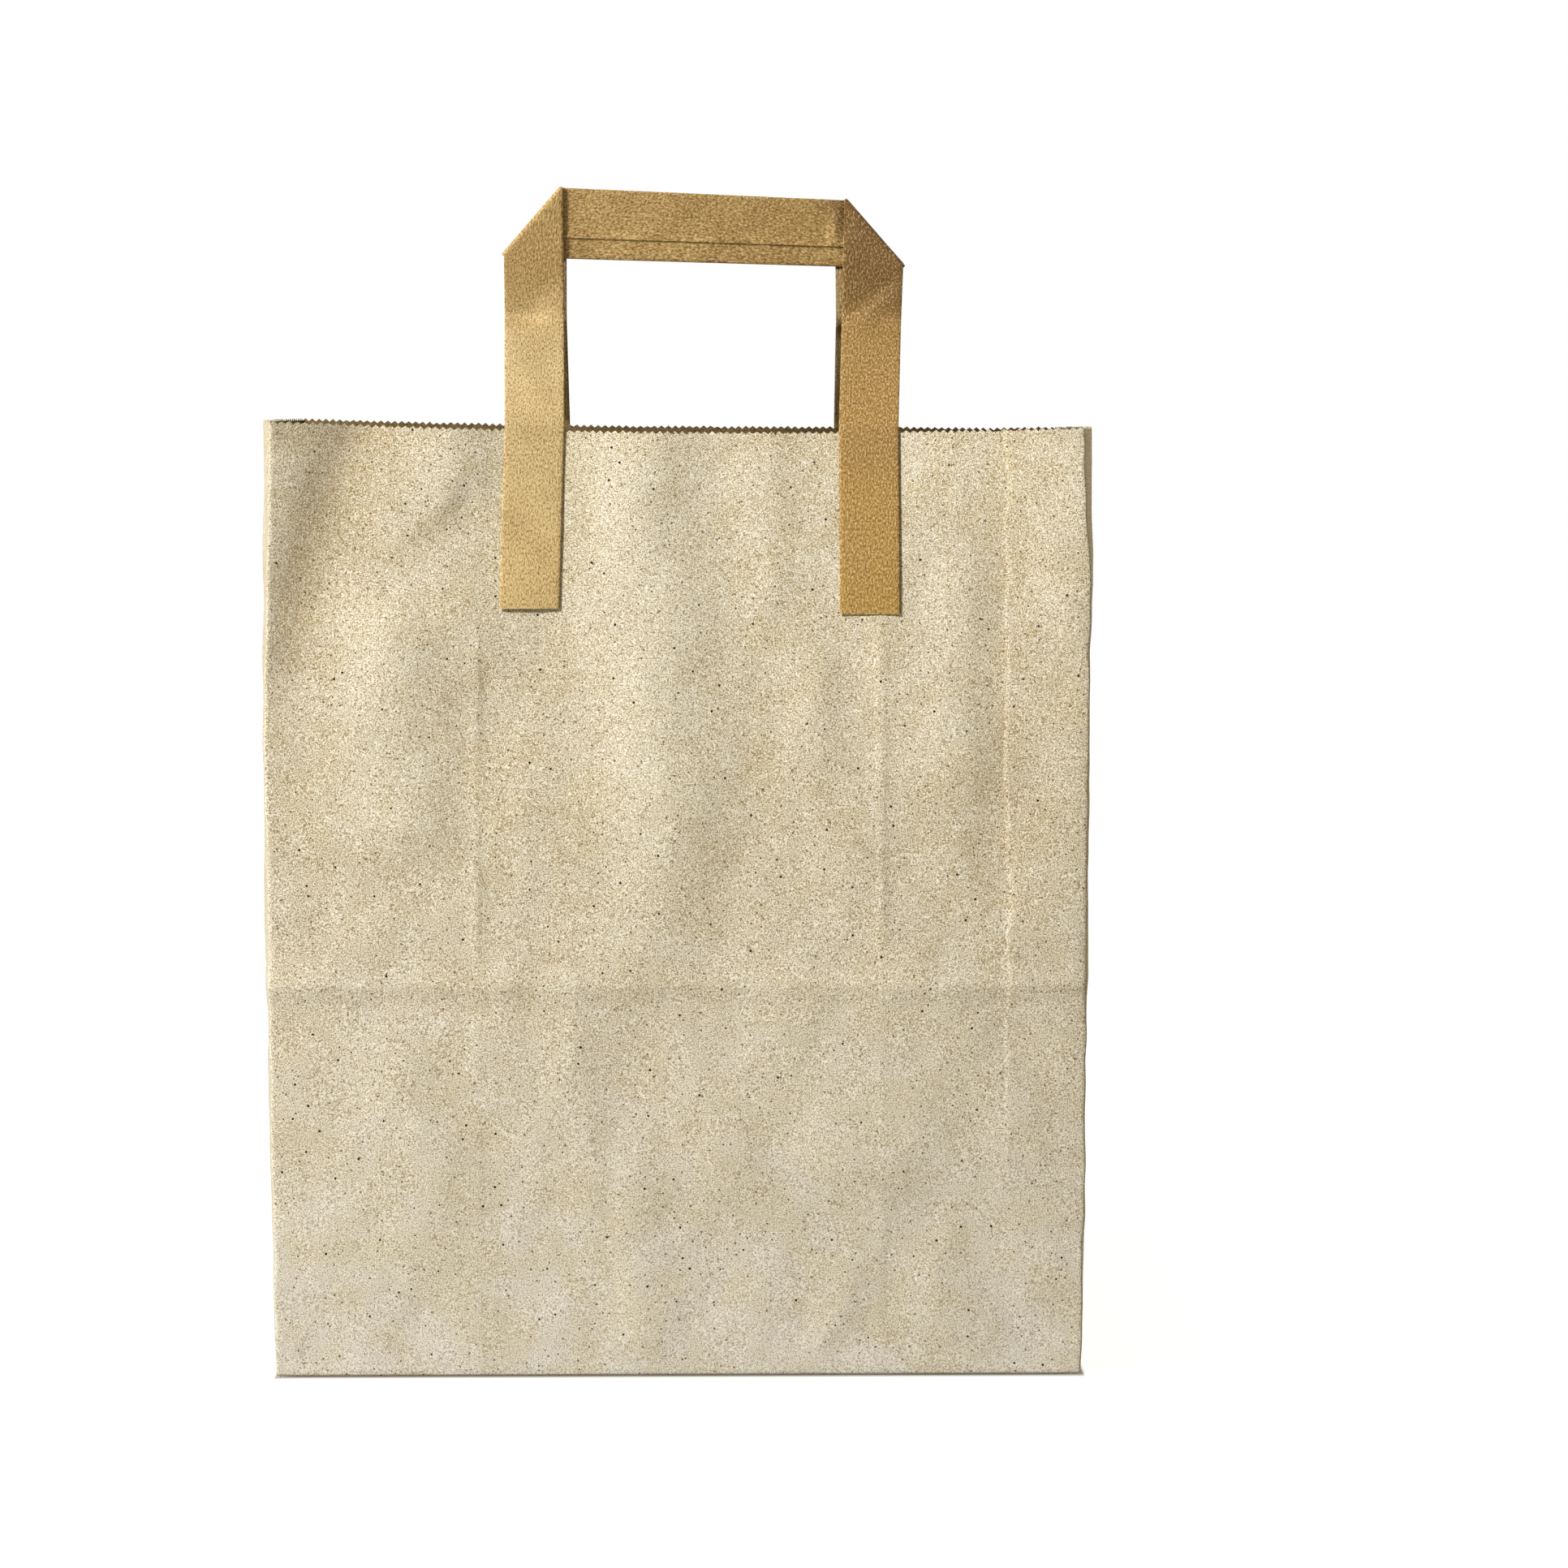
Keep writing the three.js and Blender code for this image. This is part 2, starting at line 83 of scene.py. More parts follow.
# The long seam's lap, which stands a little off the ply below it
SEAM_FROM_EDGE = 21.0
SEAM_END_FROM_EDGE = 3.0
SEAM_X = HALF_WIDTH - SEAM_FROM_EDGE
SEAM_END_X = HALF_WIDTH - SEAM_END_FROM_EDGE
SEAM_PROUD = 0.36
SEAM_STEP_RUN = 0.9
SEAM_FADE_FROM = 40.0
SEAM_FADE_TO = 125.0
SEAM_WANDER = 0.4
SEAM_SEED = 28
SEAM_WAVES = (6, 18, 90)
SEAM_COLUMNS = (-1.2, -0.7, -0.3, 0.1, 0.5, 0.9, 1.4)

# The base plies, from the floor up
FLAP_OVERLAP = 24.0
FLAP_LENGTH = HALF_DEPTH + FLAP_OVERLAP / 2
FRONT_FLAP_LEVEL = PAPER
WALL_FOOT = 2 * PAPER
FLOOR_LEVEL = 3 * PAPER
PLY_CLEARANCE = 0.004
FOOT_RADIUS = 0.6

# The tape handles
TAPE_WIDTH = 16.0
TAPE_THICKNESS = 0.4
TAPE_FULL_THICKNESS = 0.6
HEM_WIDTH = 11.3
HEM_SHARE = 1 - HEM_WIDTH / TAPE_WIDTH
GLUE_GAP = 0.25
LEG_GLUED_LENGTH = 49.0
LEG_FOOT = BAG_HEIGHT - FRONT_RIM_DIP - LEG_GLUED_LENGTH
Leg = namedtuple("Leg", "foot_x rim_x top_x foot_z rise")
LEGS = {
    (FRONT, LEFT): Leg(-39.9, -38.6, -38.8, LEG_FOOT + 2.0, 0),
    (FRONT, RIGHT): Leg(51.0, 51.0, 52.4, LEG_FOOT + 0.5, 0),
    (REAR, LEFT): Leg(-39.0, -39.0, -39.3, LEG_FOOT, 1.1),
    (REAR, RIGHT): Leg(52.1, 52.1, 51.7, LEG_FOOT, 1.1),
}
LEG_RIM_CLEARANCE = 1.5
KINK_ABOVE_RIM = 30.4
KINK_HALF_GAP = 26.0
TOP_LEAN = 0.17
FOLD_ABOVE_RIM = {LEFT: 46.2, RIGHT: 43.6}
FOLD_RISE = {LEFT: 18.2, RIGHT: 18.0}
FOLD_INNER_GAP = 0.6
EDGE_SOFTENING = (1, 2)
TAPE_FREE_RUN = 14.0

# How finely the paper is divided
ROW_STEP = 2.5
FOOT_ROW_SHARES = (0, 0.17, 0.5, 1)
GUSSET_ROW_STEP = 2.0
BELOW_CREASE_ROWS = 18
CREASE_ROW_STEP = 0.9
CORNER_RADIUS = 0.5
CORNER_REACH = 1.5
CORNER_SAMPLES = (-1, -0.5, 0, 0.5, 1)
CORNER_COLUMNS = (0.4, 1.0)
FINE_COLUMN_STEP = 1.0
TOP_BAND_SHARES = (0.35, 0.7)
NORMAL_STEP = 0.3
TAPE_STEP = 0.7
TAPE_FOLD_STEPS = 8
SHARP_EDGE_DEGREES = 38

# A soft fold in a sheet, seen from outside: from start to end, rising by height, and running out to its
# left and right and past its ends. An upward fold's left is the viewer's left, and a rightward fold's
# left is above it.
Fold = namedtuple("Fold", "start end height left_run right_run end_run", defaults=(12.0,))

FRONT_FOLDS = (
    Fold((-73, 224), (-63, 233), 0.55, 12, 2.6, 5),
    Fold((-63, 232), (-60, 241), 0.55, 12, 3.2, 4),
    Fold((-60, 241), (-58, 254), 0.9, 12, 7, 6),
    Fold((-55, 242), (-49, 228), 0.3, 5, 2.5, 5),
    Fold((-4, 160), (-10, 236), 2.5, 15, 15, 24),
    Fold((-12, 116), (-8, 146), 0.6, 20, 16, 16),
    Fold((24, 212), (24, 234), 0.8, 8, 6),
    Fold((36, 176), (37, 194), 0.8, 7, 6),
    Fold((55, 184), (55, 236), 0.8, 7, 6),
    Fold((74, 165), (75, 208), 1.1, 10, 10),
    Fold((87, 135), (87, 222), -0.9, 8, 14),
    Fold((-72, 150), (-76, 197), 2.2, 16, 15),
    Fold((-58, 193), (-58, 202), 0.5, 8, 7),
    Fold((-86, 254), (-104, 192), -2.6, 13, 9, 9),
    Fold((-45, 108), (-42, 130), 0.45, 7, 5),
    Fold((-94, 112), (-70, 124), 0.5, 9, 9),
    Fold((12, 118), (16, 134), -0.4, 8, 8),
    Fold((-12, 14), (-12, 52), 0.7, 5, 9),
    Fold((-29, 84), (-29, 100), 0.6, 7, 5),
    Fold((-24, 52), (-24, 66), 0.6, 6, 5),
    Fold((50, 60), (50, 98), 1.2, 30, 36),
    Fold((-76, 30), (-70, 84), 0.7, 22, 18),
    Fold((36, 2), (44, 22), 0.4, 5, 4),
    Fold((68, 28), (72, 42), 0.4, 5, 4),
    Fold((98, 222), (108, 196), 0.4, 5, 4),
    Fold((-108, 1), (-103, 8), 0.5, 2.5, 2, 3),
)

FOLD_PIN = 12

# The seeded folds of the sides that the photograph doesn't show
SEEDED_WIDTH_SHARE = 0.8
SEEDED_HEIGHTS = (25, 225)
SEEDED_LENGTHS = (15, 55)
SEEDED_LEAN = 0.25
SEEDED_RELIEF = (0.3, 1.0)
SEEDED_RUNS = (6, 14)
REAR_FOLD_SEED = 11
REAR_FOLD_COUNT = 18
GUSSET_FOLD_SEEDS = {LEFT: 12, RIGHT: 13}
GUSSET_FOLD_COUNT = 7
GUSSET_FOLD_SHARE = 0.7

# Gentle cockling all over the sheet: how high, how far it is drawn out upwards, and its waves
Cockle = namedtuple("Cockle", "height seed stretch count shortest longest")
PANEL_COCKLES = (Cockle(0.2, 21, 0.5, 14, 14, 40), Cockle(0.04, 24, 0.6, 18, 5, 11))
GUSSET_COCKLES = (Cockle(0.14, 31, 0.6, 12, 14, 40), Cockle(0.03, 34, 0.7, 18, 5, 11))
TAPE_COCKLES = (Cockle(0.14, 81, 1.0, 12, 12, 45),)

# How far each corner stands out of line at some heights, across the bag, and how far its foot is pinched
CornerLine = namedtuple("CornerLine", "heights across pinch")
CORNER_LINES = (
    CornerLine((0, 29, 55, 85, 115, 137, 165, 185, 200, 230, 254),
               (0, -0.25, -0.6, -0.95, -1.0, -1.5, -2.2, -2.0, -1.3, -0.95, -0.5), 0.3),
    CornerLine((0, 11, 29, 42, 63, 106, 150, 193, 212, 228, 244, 254),
               (-0.6, -0.3, -0.4, 0, 0.4, 0.6, 0.9, 1.5, 1.7, 1.1, 0.4, 0.1), 0.2),
    CornerLine((0, 40, 150, 200, 254), (0, 0.8, 1.5, 0.8, 0), 0),
    CornerLine((0, 50, 130, 210, 254), (0, -0.9, -1.4, -0.7, 0), 0),
)
CORNER_LINE_RUN = 14.0
CORNER_WANDER = 0.14
CORNER_SEED_X = 41
CORNER_SEED_Y = 51
CORNER_WAVES = (10, 5, 50)
PINCH_HEIGHT = 9.0
PINCH_RUN = PINCH_HEIGHT / 2


def travelled(x, facing=FRONT):
    """Where a panel's x lies on the way round the bag."""
    return x + HALF_WIDTH if facing == FRONT else REAR_START + HALF_WIDTH - x


def waves(seed, u, v, count, shortest, longest):
    """Gentle seeded unevenness, about 1 either way."""
    rng = np.random.default_rng(seed)
    total = np.zeros(np.broadcast(u, v).shape)
    for _ in range(count):
        angle = rng.uniform(0, math.pi)
        length = rng.uniform(shortest, longest)
        phase = rng.uniform(0, math.tau)
        total += np.sin(math.tau * (u * math.cos(angle) + v * math.sin(angle)) / length + phase)
    return total * math.sqrt(2 / count)


def with_cockles(relief, cockles, side, u, v):
    """A relief with gentle cockling added, which is another on each side."""
    for cockle in cockles:
        seed = cockle.seed + side
        uneven = waves(seed, u, v * cockle.stretch, cockle.count, cockle.shortest, cockle.longest)
        relief = relief + cockle.height * uneven
    return relief


def fold_relief(folds, x, z):
    """How far the folds lift the sheet at a place, seen from outside."""
    total = np.zeros(np.broadcast(x, z).shape)
    for fold in folds:
        run_x, run_z = np.subtract(fold.end, fold.start)
        length = math.hypot(run_x, run_z)
        from_x, from_z = x - fold.start[0], z - fold.start[1]
        along = (from_x * run_x + from_z * run_z) / length
        across = (from_x * run_z - from_z * run_x) / length
        run = np.where(across > 0, fold.right_run, fold.left_run)
        beyond = np.maximum(0, np.maximum(-along, along - length))
        total += fold.height * np.exp(-(across / run) ** 2 - (beyond / fold.end_run) ** 2)
    return total


def seeded_folds(seed, count, half_width):
    """Folds for a panel that the photograph doesn't show, in the style of those that it does."""
    rng = np.random.default_rng(seed)
    folds = []
    for _ in range(count):
        x = rng.uniform(-SEEDED_WIDTH_SHARE, SEEDED_WIDTH_SHARE) * half_width
        z = rng.uniform(*SEEDED_HEIGHTS)
        length = rng.uniform(*SEEDED_LENGTHS)
        lean = rng.normal(0, SEEDED_LEAN)
        height = rng.choice((-1, 1)) * rng.uniform(*SEEDED_RELIEF)
        end = (x + length * math.sin(lean), z + length * math.cos(lean))
        folds.append(Fold((x, z), end, height, rng.uniform(*SEEDED_RUNS), rng.uniform(*SEEDED_RUNS)))
    return folds


REAR_FOLDS = seeded_folds(REAR_FOLD_SEED, REAR_FOLD_COUNT, HALF_WIDTH)
GUSSET_FOLDS = {
    side: seeded_folds(seed, GUSSET_FOLD_COUNT, HALF_DEPTH) for side, seed in GUSSET_FOLD_SEEDS.items()}


def tent(distance, half_width):
    """1 in the middle, falling straight to 0 at the half width."""
    return np.maximum(0, 1 - np.abs(distance) / half_width)


def pull_share(z):
    """How far a height is drawn in by the handles: 0 up to the crease and 1 at the rim."""
    above = np.maximum(0, z - CREASE_HEIGHT) / (BAG_HEIGHT - CREASE_HEIGHT)
    return above ** PULL_GROWTH


def crease_proud(z, most, side_share=1.0):
    """How proud the cross crease stands: the sheet above it stays a little proud of the sheet below."""
    above = np.maximum(0, z - CREASE_HEIGHT)
    ridge = tent(z - CREASE_HEIGHT, CREASE_HALF_WIDTH)
    lasting = CREASE_LASTING * np.exp(-(above / CREASE_LASTING_RUN) ** 2)
    most = most * (CREASE_MIDDLE_SHARE + (1 - CREASE_MIDDLE_SHARE) * side_share)
    return most * np.where(z > CREASE_HEIGHT, (1 - CREASE_LASTING) * ridge + lasting, ridge)


def pin(share):
    """1 over most of a panel and 0 at its corners."""
    return 1 - np.minimum(1, np.abs(share)) ** FOLD_PIN


GUSSET_PRINT_HEIGHT = 0.3
GUSSET_PRINT_HALF_WIDTH = 1.8
GUSSET_PRINT_TOP = 205.0
GUSSET_PRINT_FADE = 12.0
GUSSET_PRINT_LOW_SHARE = 0.35


def gusset_print(x, z):
    """The gusset's inner fold, printed through a panel where the bag was packed flat."""
    beside = tent(np.abs(x) - HALF_DEPTH, GUSSET_PRINT_HALF_WIDTH)
    low = GUSSET_PRINT_LOW_SHARE
    above_crease = low + (1 - low) * np.clip((z - CREASE_HEIGHT) / GUSSET_PRINT_FADE, 0, 1)
    below_top = np.clip((GUSSET_PRINT_TOP - z) / GUSSET_PRINT_FADE, 0, 1)
    return GUSSET_PRINT_HEIGHT * beside * above_crease * below_top


LEG_STIFFENING = 0.75
LEG_STIFF_REACH = 12.0


def loose_share(x, z):
    """1 where a panel is free to cockle, and less where a glued leg stiffens it."""
    held = np.zeros(np.broadcast(x, z).shape)
    for hand in (LEFT, RIGHT):
        beside = TAPE_WIDTH / 2 + LEG_STIFF_REACH - np.abs(x - LEGS[FRONT, hand].rim_x)
        beside = np.clip(beside / LEG_STIFF_REACH, 0, 1)
        above = np.clip((z - LEG_FOOT + LEG_STIFF_REACH) / LEG_STIFF_REACH, 0, 1)
        held = np.maximum(held, beside * above)
    return 1 - LEG_STIFFENING * held


def panel_out(facing, x, z):
    """How far a panel's outer face is from the bag's middle plane."""
    share = pull_share(z)
    pulled = PULL_IN * (1 - np.abs(x / HALF_WIDTH) ** PULL_ROUNDNESS) * share
    out = HALF_DEPTH - RIM_CORNER_INSET_Y * share - pulled
    out = out + crease_proud(z, CREASE_PROUD, np.abs(x / HALF_WIDTH))
    folds = FRONT_FOLDS if facing == FRONT else REAR_FOLDS
    relief = fold_relief(folds, x, z) * loose_share(x, z)
    relief = with_cockles(relief, PANEL_COCKLES, facing, x, z)
    out = out + pin(x / HALF_WIDTH) * (relief + gusset_print(x, z)) * foot_hold(z)
    if facing == FRONT:
        seam = SEAM_X + SEAM_WANDER * waves(SEAM_SEED, z, 0, *SEAM_WAVES)
        rise = np.clip((x - seam) / SEAM_STEP_RUN, 0, 1)
        rise = rise * np.clip((z - SEAM_FADE_FROM) / (SEAM_FADE_TO - SEAM_FADE_FROM), 0, 1)
        ending = np.clip((HALF_WIDTH - x) / (HALF_WIDTH - SEAM_END_X), 0, 1)
        out = out + SEAM_PROUD * rise * ending
    return out


FOOT_HOLD_HEIGHT = 10.0
FOOT_HOLD_GROWTH = 0.7


def foot_hold(z):
    """0 at the base, which holds the walls straight, and 1 above it."""
    return np.clip((z - WALL_FOOT) / FOOT_HOLD_HEIGHT, 0, 1) ** FOOT_HOLD_GROWTH


def gusset_belly(y, z, side):
    """The gusset's belly. Below its two diagonal creases it is a flat triangle that leans out."""
    height = np.maximum(0, z - WALL_FOOT)
    full = np.interp(height, BELLY_HEIGHTS, BELLIES[side])
    apex = np.interp(HALF_DEPTH, BELLY_HEIGHTS, BELLIES[side])
    beside = np.abs(y)
    past = np.maximum(0, beside - (HALF_DEPTH - height)) / np.maximum(height, PAPER)
    low = apex * height / HALF_DEPTH * (1 - np.minimum(1, past) ** 2)
    growth = np.clip((height - HALF_DEPTH) / HALF_DEPTH, 0, 1)
    dome = full * (1 - (beside / HALF_DEPTH) ** 2)
    high = dome - GUSSET_CREASE_DEPTH * tent(beside, GUSSET_CREASE_HALF_WIDTH) * growth
    return np.where(height < HALF_DEPTH, low, high)


def gusset_out(side, y, z):
    """How far a gusset's outer face is from the bag's middle plane."""
    share = pull_share(z)
    belly = gusset_belly(y, z, side)
    relief = GUSSET_FOLD_SHARE * fold_relief(GUSSET_FOLDS[side], y, z)
    relief = with_cockles(relief, GUSSET_COCKLES, side, y, z)
    out = HALF_WIDTH - RIM_CORNER_INSET_X * share + belly + crease_proud(z, GUSSET_CREASE_PROUD)
    return out + pin(y / HALF_DEPTH) * relief * foot_hold(z)


def corner_gap(travel, corner):
    return np.abs(np.mod(travel - corner + HALF_WIDTH, PERIMETER) - HALF_WIDTH)


def nearest_corner(travel):
    return np.min([corner_gap(travel, corner) for corner in CORNERS], axis=0)


def folded_point(travel, z):
    """A point of the sheet's outer face, with its four corners still sharp."""
    travel, z = np.broadcast_arrays(np.mod(travel, PERIMETER), z)
    share = pull_share(z)
    squeeze_x = 1 - RIM_CORNER_INSET_X * share / HALF_WIDTH
    squeeze_y = 1 - RIM_CORNER_INSET_Y * share / HALF_DEPTH
    front_x = travel - HALF_WIDTH
    right_y = travel - RIGHT_START - HALF_DEPTH
    rear_x = REAR_START + HALF_WIDTH - travel
    left_y = LEFT_START + HALF_DEPTH - travel
    on_side = (travel < RIGHT_START, travel < REAR_START, travel < LEFT_START, travel >= LEFT_START)
    x = np.select(on_side, (
        front_x * squeeze_x, gusset_out(RIGHT, right_y, z), rear_x * squeeze_x, -gusset_out(LEFT, left_y, z)))
    y = np.select(on_side, (
        -panel_out(FRONT, front_x, z), right_y * squeeze_y, panel_out(REAR, rear_x, z), left_y * squeeze_y))
    for index, corner in enumerate(CORNERS):
        line = CORNER_LINES[index]
        gap = corner_gap(travel, corner)
        near = np.exp(-(gap / CORNER_LINE_RUN) ** 2)
        wander = CORNER_WANDER * near * foot_hold(z)
        x = x + near * np.interp(z, line.heights, line.across)
        x = x + wander * waves(CORNER_SEED_X + index, z, 0, *CORNER_WAVES)
        y = y + wander * waves(CORNER_SEED_Y + index, z, 0, *CORNER_WAVES)
        pinched = np.maximum(0, 1 - z / PINCH_HEIGHT) * np.exp(-(gap / PINCH_RUN) ** 2)
        y = y + line.pinch * pinched
    return np.stack((x, y, z), axis=-1)


def sheet_point(travel, z):
    """A point of the sheet's outer face, with its corners rounded as paper folds."""
    radius = np.where(nearest_corner(travel) < CORNER_REACH, CORNER_RADIUS, 0)
    around = sum(folded_point(travel + shift * radius, z) for shift in CORNER_SAMPLES)
    return around / len(CORNER_SAMPLES)


def sheet_normal(travel, z):
    """The way out of the sheet at a place."""
    across = sheet_point(travel + NORMAL_STEP, z) - sheet_point(travel - NORMAL_STEP, z)
    up = sheet_point(travel, z + NORMAL_STEP) - sheet_point(travel, z - NORMAL_STEP)
    normal = np.cross(across, up)
    return normal / np.linalg.norm(normal, axis=-1, keepdims=True)


def rim_height(travel):
    """The height of the cut edge at its tooth tips."""
    travel = np.mod(travel, PERIMETER)
    front_x = travel - HALF_WIDTH
    rear_x = REAR_START + HALF_WIDTH - travel
    x = np.clip(np.where(travel < REAR_START, front_x, rear_x), -HALF_WIDTH, HALF_WIDTH)
    x = np.where(travel >= LEFT_START, -HALF_WIDTH, x)
    dip = np.where(travel < REAR_START, FRONT_RIM_DIP, REAR_RIM_DIP)
    side_share = (x / HALF_WIDTH) ** 2
    from_front = np.clip((travel - RIGHT_START) / BAG_DEPTH, 0, 1)
    drop = REAR_RIGHT_DROP * from_front * np.clip((x - REAR_RIGHT_FROM) / REAR_RIGHT_RUN, 0, 1)
    lift = CORNER_RIM_LIFT * side_share
    return BAG_HEIGHT - RIM_SLOPE * x / BAG_WIDTH - dip * (1 - side_share) + lift - drop


def tooth_cut(travel):
    """How far the pinked edge lies below its tips: most at even millimetres, nothing at odd ones."""
    beside = np.abs(np.mod(travel, TOOTH_PITCH) - TOOTH_PITCH / 2) / (TOOTH_PITCH / 2)
    return TOOTH_DEPTH * beside


def sheet_columns():
    """Places round the bag where the sheet is divided."""
    places = list(np.arange(0, PERIMETER, TOOTH_PITCH))
    places += [corner + side * gap for corner in CORNERS for side in (-1, 1) for gap in CORNER_COLUMNS]
    places += [travelled(SEAM_X) + place for place in SEAM_COLUMNS]
    for facing in (FRONT, REAR):
        for x in (-HALF_DEPTH, HALF_DEPTH):
            places += [travelled(x, facing) - FINE_COLUMN_STEP, travelled(x, facing) + FINE_COLUMN_STEP]
    return np.unique(np.round(np.mod(places, PERIMETER), 3))


def sheet_rows():
    """Heights where the sheet is divided, below the band that follows the rim."""
    foot = WALL_FOOT + FOOT_RADIUS * np.array(FOOT_ROW_SHARES)
    gusset = WALL_FOOT + np.arange(GUSSET_ROW_STEP, HALF_DEPTH + GUSSET_ROW_STEP / 2, GUSSET_ROW_STEP)
    below = np.linspace(gusset[-1], CREASE_HEIGHT - CREASE_HALF_WIDTH, BELOW_CREASE_ROWS + 1)[1:]
    crease_end = CREASE_HALF_WIDTH + CREASE_ROW_STEP / 2
    crease = CREASE_HEIGHT + np.arange(-CREASE_HALF_WIDTH, crease_end, CREASE_ROW_STEP)[1:]
    top = np.min(rim_height(np.arange(PERIMETER))) - TOOTH_DEPTH - ROW_STEP
    above = np.linspace(crease[-1], top, round((top - crease[-1]) / ROW_STEP) + 1)[1:]
    return np.concatenate((foot, gusset, below, crease, above))


OUTSIDE, INSIDE = 0, 1
# The plain middle of the wear-and-shade mark: above it paler, as rubbed paper and painted light; below it
# browner, as painted shade
PLAIN_WEAR_AND_SHADE = 0.5


class Mesh:
    """Points and faces under construction. Faces run counter-clockwise seen from outside."""

    def __init__(self):
        self.points = []
        self.faces = []
        self.materials = []
        self.wear_and_shade = []
        self.count = 0
        self.material = OUTSIDE

    def add(self, points, wear_and_shade=PLAIN_WEAR_AND_SHADE):
        """Adds a row or grid of points, each with its wear-and-shade mark, and returns their numbers in the
        same shape.
        """
        points = np.asarray(points, dtype=float)
        numbers = np.arange(self.count, self.count + points[..., 0].size).reshape(points.shape[:-1])
        self.points.append(points.reshape(-1, 3))
        self.wear_and_shade.append(np.broadcast_to(wear_and_shade, numbers.shape).ravel())
        self.count += numbers.size
        return numbers

    def quads(self, a, b, c, d):
        """Squares a-b-c-d, from four arrays of point numbers, each cut along a-c."""
        a, b, c, d = (np.ravel(part) for part in (a, b, c, d))
        self.triangles(a, b, c)
        self.triangles(a, c, d)

    def triangles(self, a, b, c):
        a, b, c = np.broadcast_arrays(np.ravel(a), np.ravel(b), np.ravel(c))
        self.faces.append(np.stack((a, b, c), axis=1))
        self.materials.append(np.full(len(a), self.material))

    def make(self, name):
        mesh = bpy.data.meshes.new(name)
        points = np.concatenate(self.points) * MM
        faces = np.concatenate(self.faces)
        mesh.from_pydata(points.tolist(), [], faces.tolist())
        mesh.polygons.foreach_set("material_index", np.concatenate(self.materials))
        mesh.attributes.new("wear_and_shade", "FLOAT", "POINT").data.foreach_set("value", np.concatenate(self.wear_and_shade))
        mesh.shade_smooth()
        mesh.set_sharp_from_angle(angle=math.radians(SHARP_EDGE_DEGREES))
        mesh.update()
        piece = bpy.data.objects.new(name, mesh)
        bpy.context.scene.collection.objects.link(piece)
        return piece


# How far the front folds rise or sink for the full pale rub with painted light, or for the full painted shade
WEAR_AND_SHADE_RELIEF = 2.4
FOLD_RUB = 0.35
FOLD_RUB_RUN = 0.7


def sheet_wear_and_shade(travel, z):
    """A mark for the paper's colour, from 0 to 1: towards 1 paler on its ridges, partly rubbed paper and
    partly painted light, and on its corner folds, where it is rubbed; towards 0 browner in its hollows, as
    painted shade.
    """
    front_x = np.where(travel < RIGHT_START, travel - HALF_WIDTH, 0)
    relief = fold_relief(FRONT_FOLDS, front_x, z) * pin(front_x / HALF_WIDTH)
    relief = np.where(travel < RIGHT_START, relief, 0)
    corner = FOLD_RUB * np.exp(-nearest_corner(travel) / FOLD_RUB_RUN)
    return np.clip(PLAIN_WEAR_AND_SHADE + relief / WEAR_AND_SHADE_RELIEF / 2 + corner, 0, 1)


def rolled(numbers):
    """The next point's number for each point of a closed row."""
    return np.roll(numbers, -1, axis=-1)


INNER_ROW_LIFT = 0.02


def add_walls(mesh):
    """The four walls and the ply of the base that they share, as one closed sheet."""
    columns = sheet_columns()
    rows = sheet_rows()
    travel, z = np.meshgrid(columns, rows)
    rim_notch = rim_height(columns) - TOOTH_DEPTH
    for share in TOP_BAND_SHARES:
        travel = np.vstack((travel, columns))
        z = np.vstack((z, rows[-1] + share * (rim_notch - rows[-1])))
    outer = sheet_point(travel, z)
    normal = sheet_normal(travel, z)
    inner = outer - PAPER * normal
    turn = np.clip(1 - (z - WALL_FOOT) / FOOT_RADIUS, 0, 1)
    tuck = FOOT_RADIUS * (1 - np.sqrt(1 - turn ** 2))
    level = normal * (1, 1, 0)
    outer -= tuck[..., None] * level
    inner -= tuck[..., None] * level
    inner_lift = np.arange(len(z))[:, None] * INNER_ROW_LIFT
    inner[..., 2] = np.maximum(inner[..., 2], FLOOR_LEVEL + inner_lift)
    outer_ids, inner_ids = mesh.add(outer, sheet_wear_and_shade(travel, z)), mesh.add(inner)
    for ids, facing_out in ((outer_ids, True), (inner_ids, False)):
        mesh.material = OUTSIDE if facing_out else INSIDE
        join_rows(mesh, ids[:-1], ids[1:], columns, facing_out)
    stitch_rim(mesh, columns, outer_ids[-1], inner_ids[-1])
    under = mesh.add([(0, 0, WALL_FOOT)])
    floor = mesh.add([(0, 0, FLOOR_LEVEL)])
    mesh.material = OUTSIDE
    mesh.triangles(rolled(outer_ids[0]), outer_ids[0], under)
    mesh.material = INSIDE
    mesh.triangles(inner_ids[0], rolled(inner_ids[0]), floor)
    mesh.material = OUTSIDE


def join_rows(mesh, low, high, columns, facing_out):
    """Joins rows of points. On a gusset the squares turn their diagonal past its middle, along its crease."""
    middle = columns + np.diff(np.append(columns, PERIMETER)) / 2
    past_right = (middle > RIGHT_START + HALF_DEPTH) & (middle < REAR_START)
    past_left = middle > LEFT_START + HALF_DEPTH
    turned = past_right | past_left
    corners = (low, rolled(low), rolled(high), high)
    for mask, start in ((~turned, 0), (turned, 1)):
        order = [corners[(start + step) % 4][:, mask] for step in range(4)]
        mesh.quads(*(order if facing_out else order[::-1]))


RIM_RAGGEDNESS = 0.07
RIM_SEED = 61


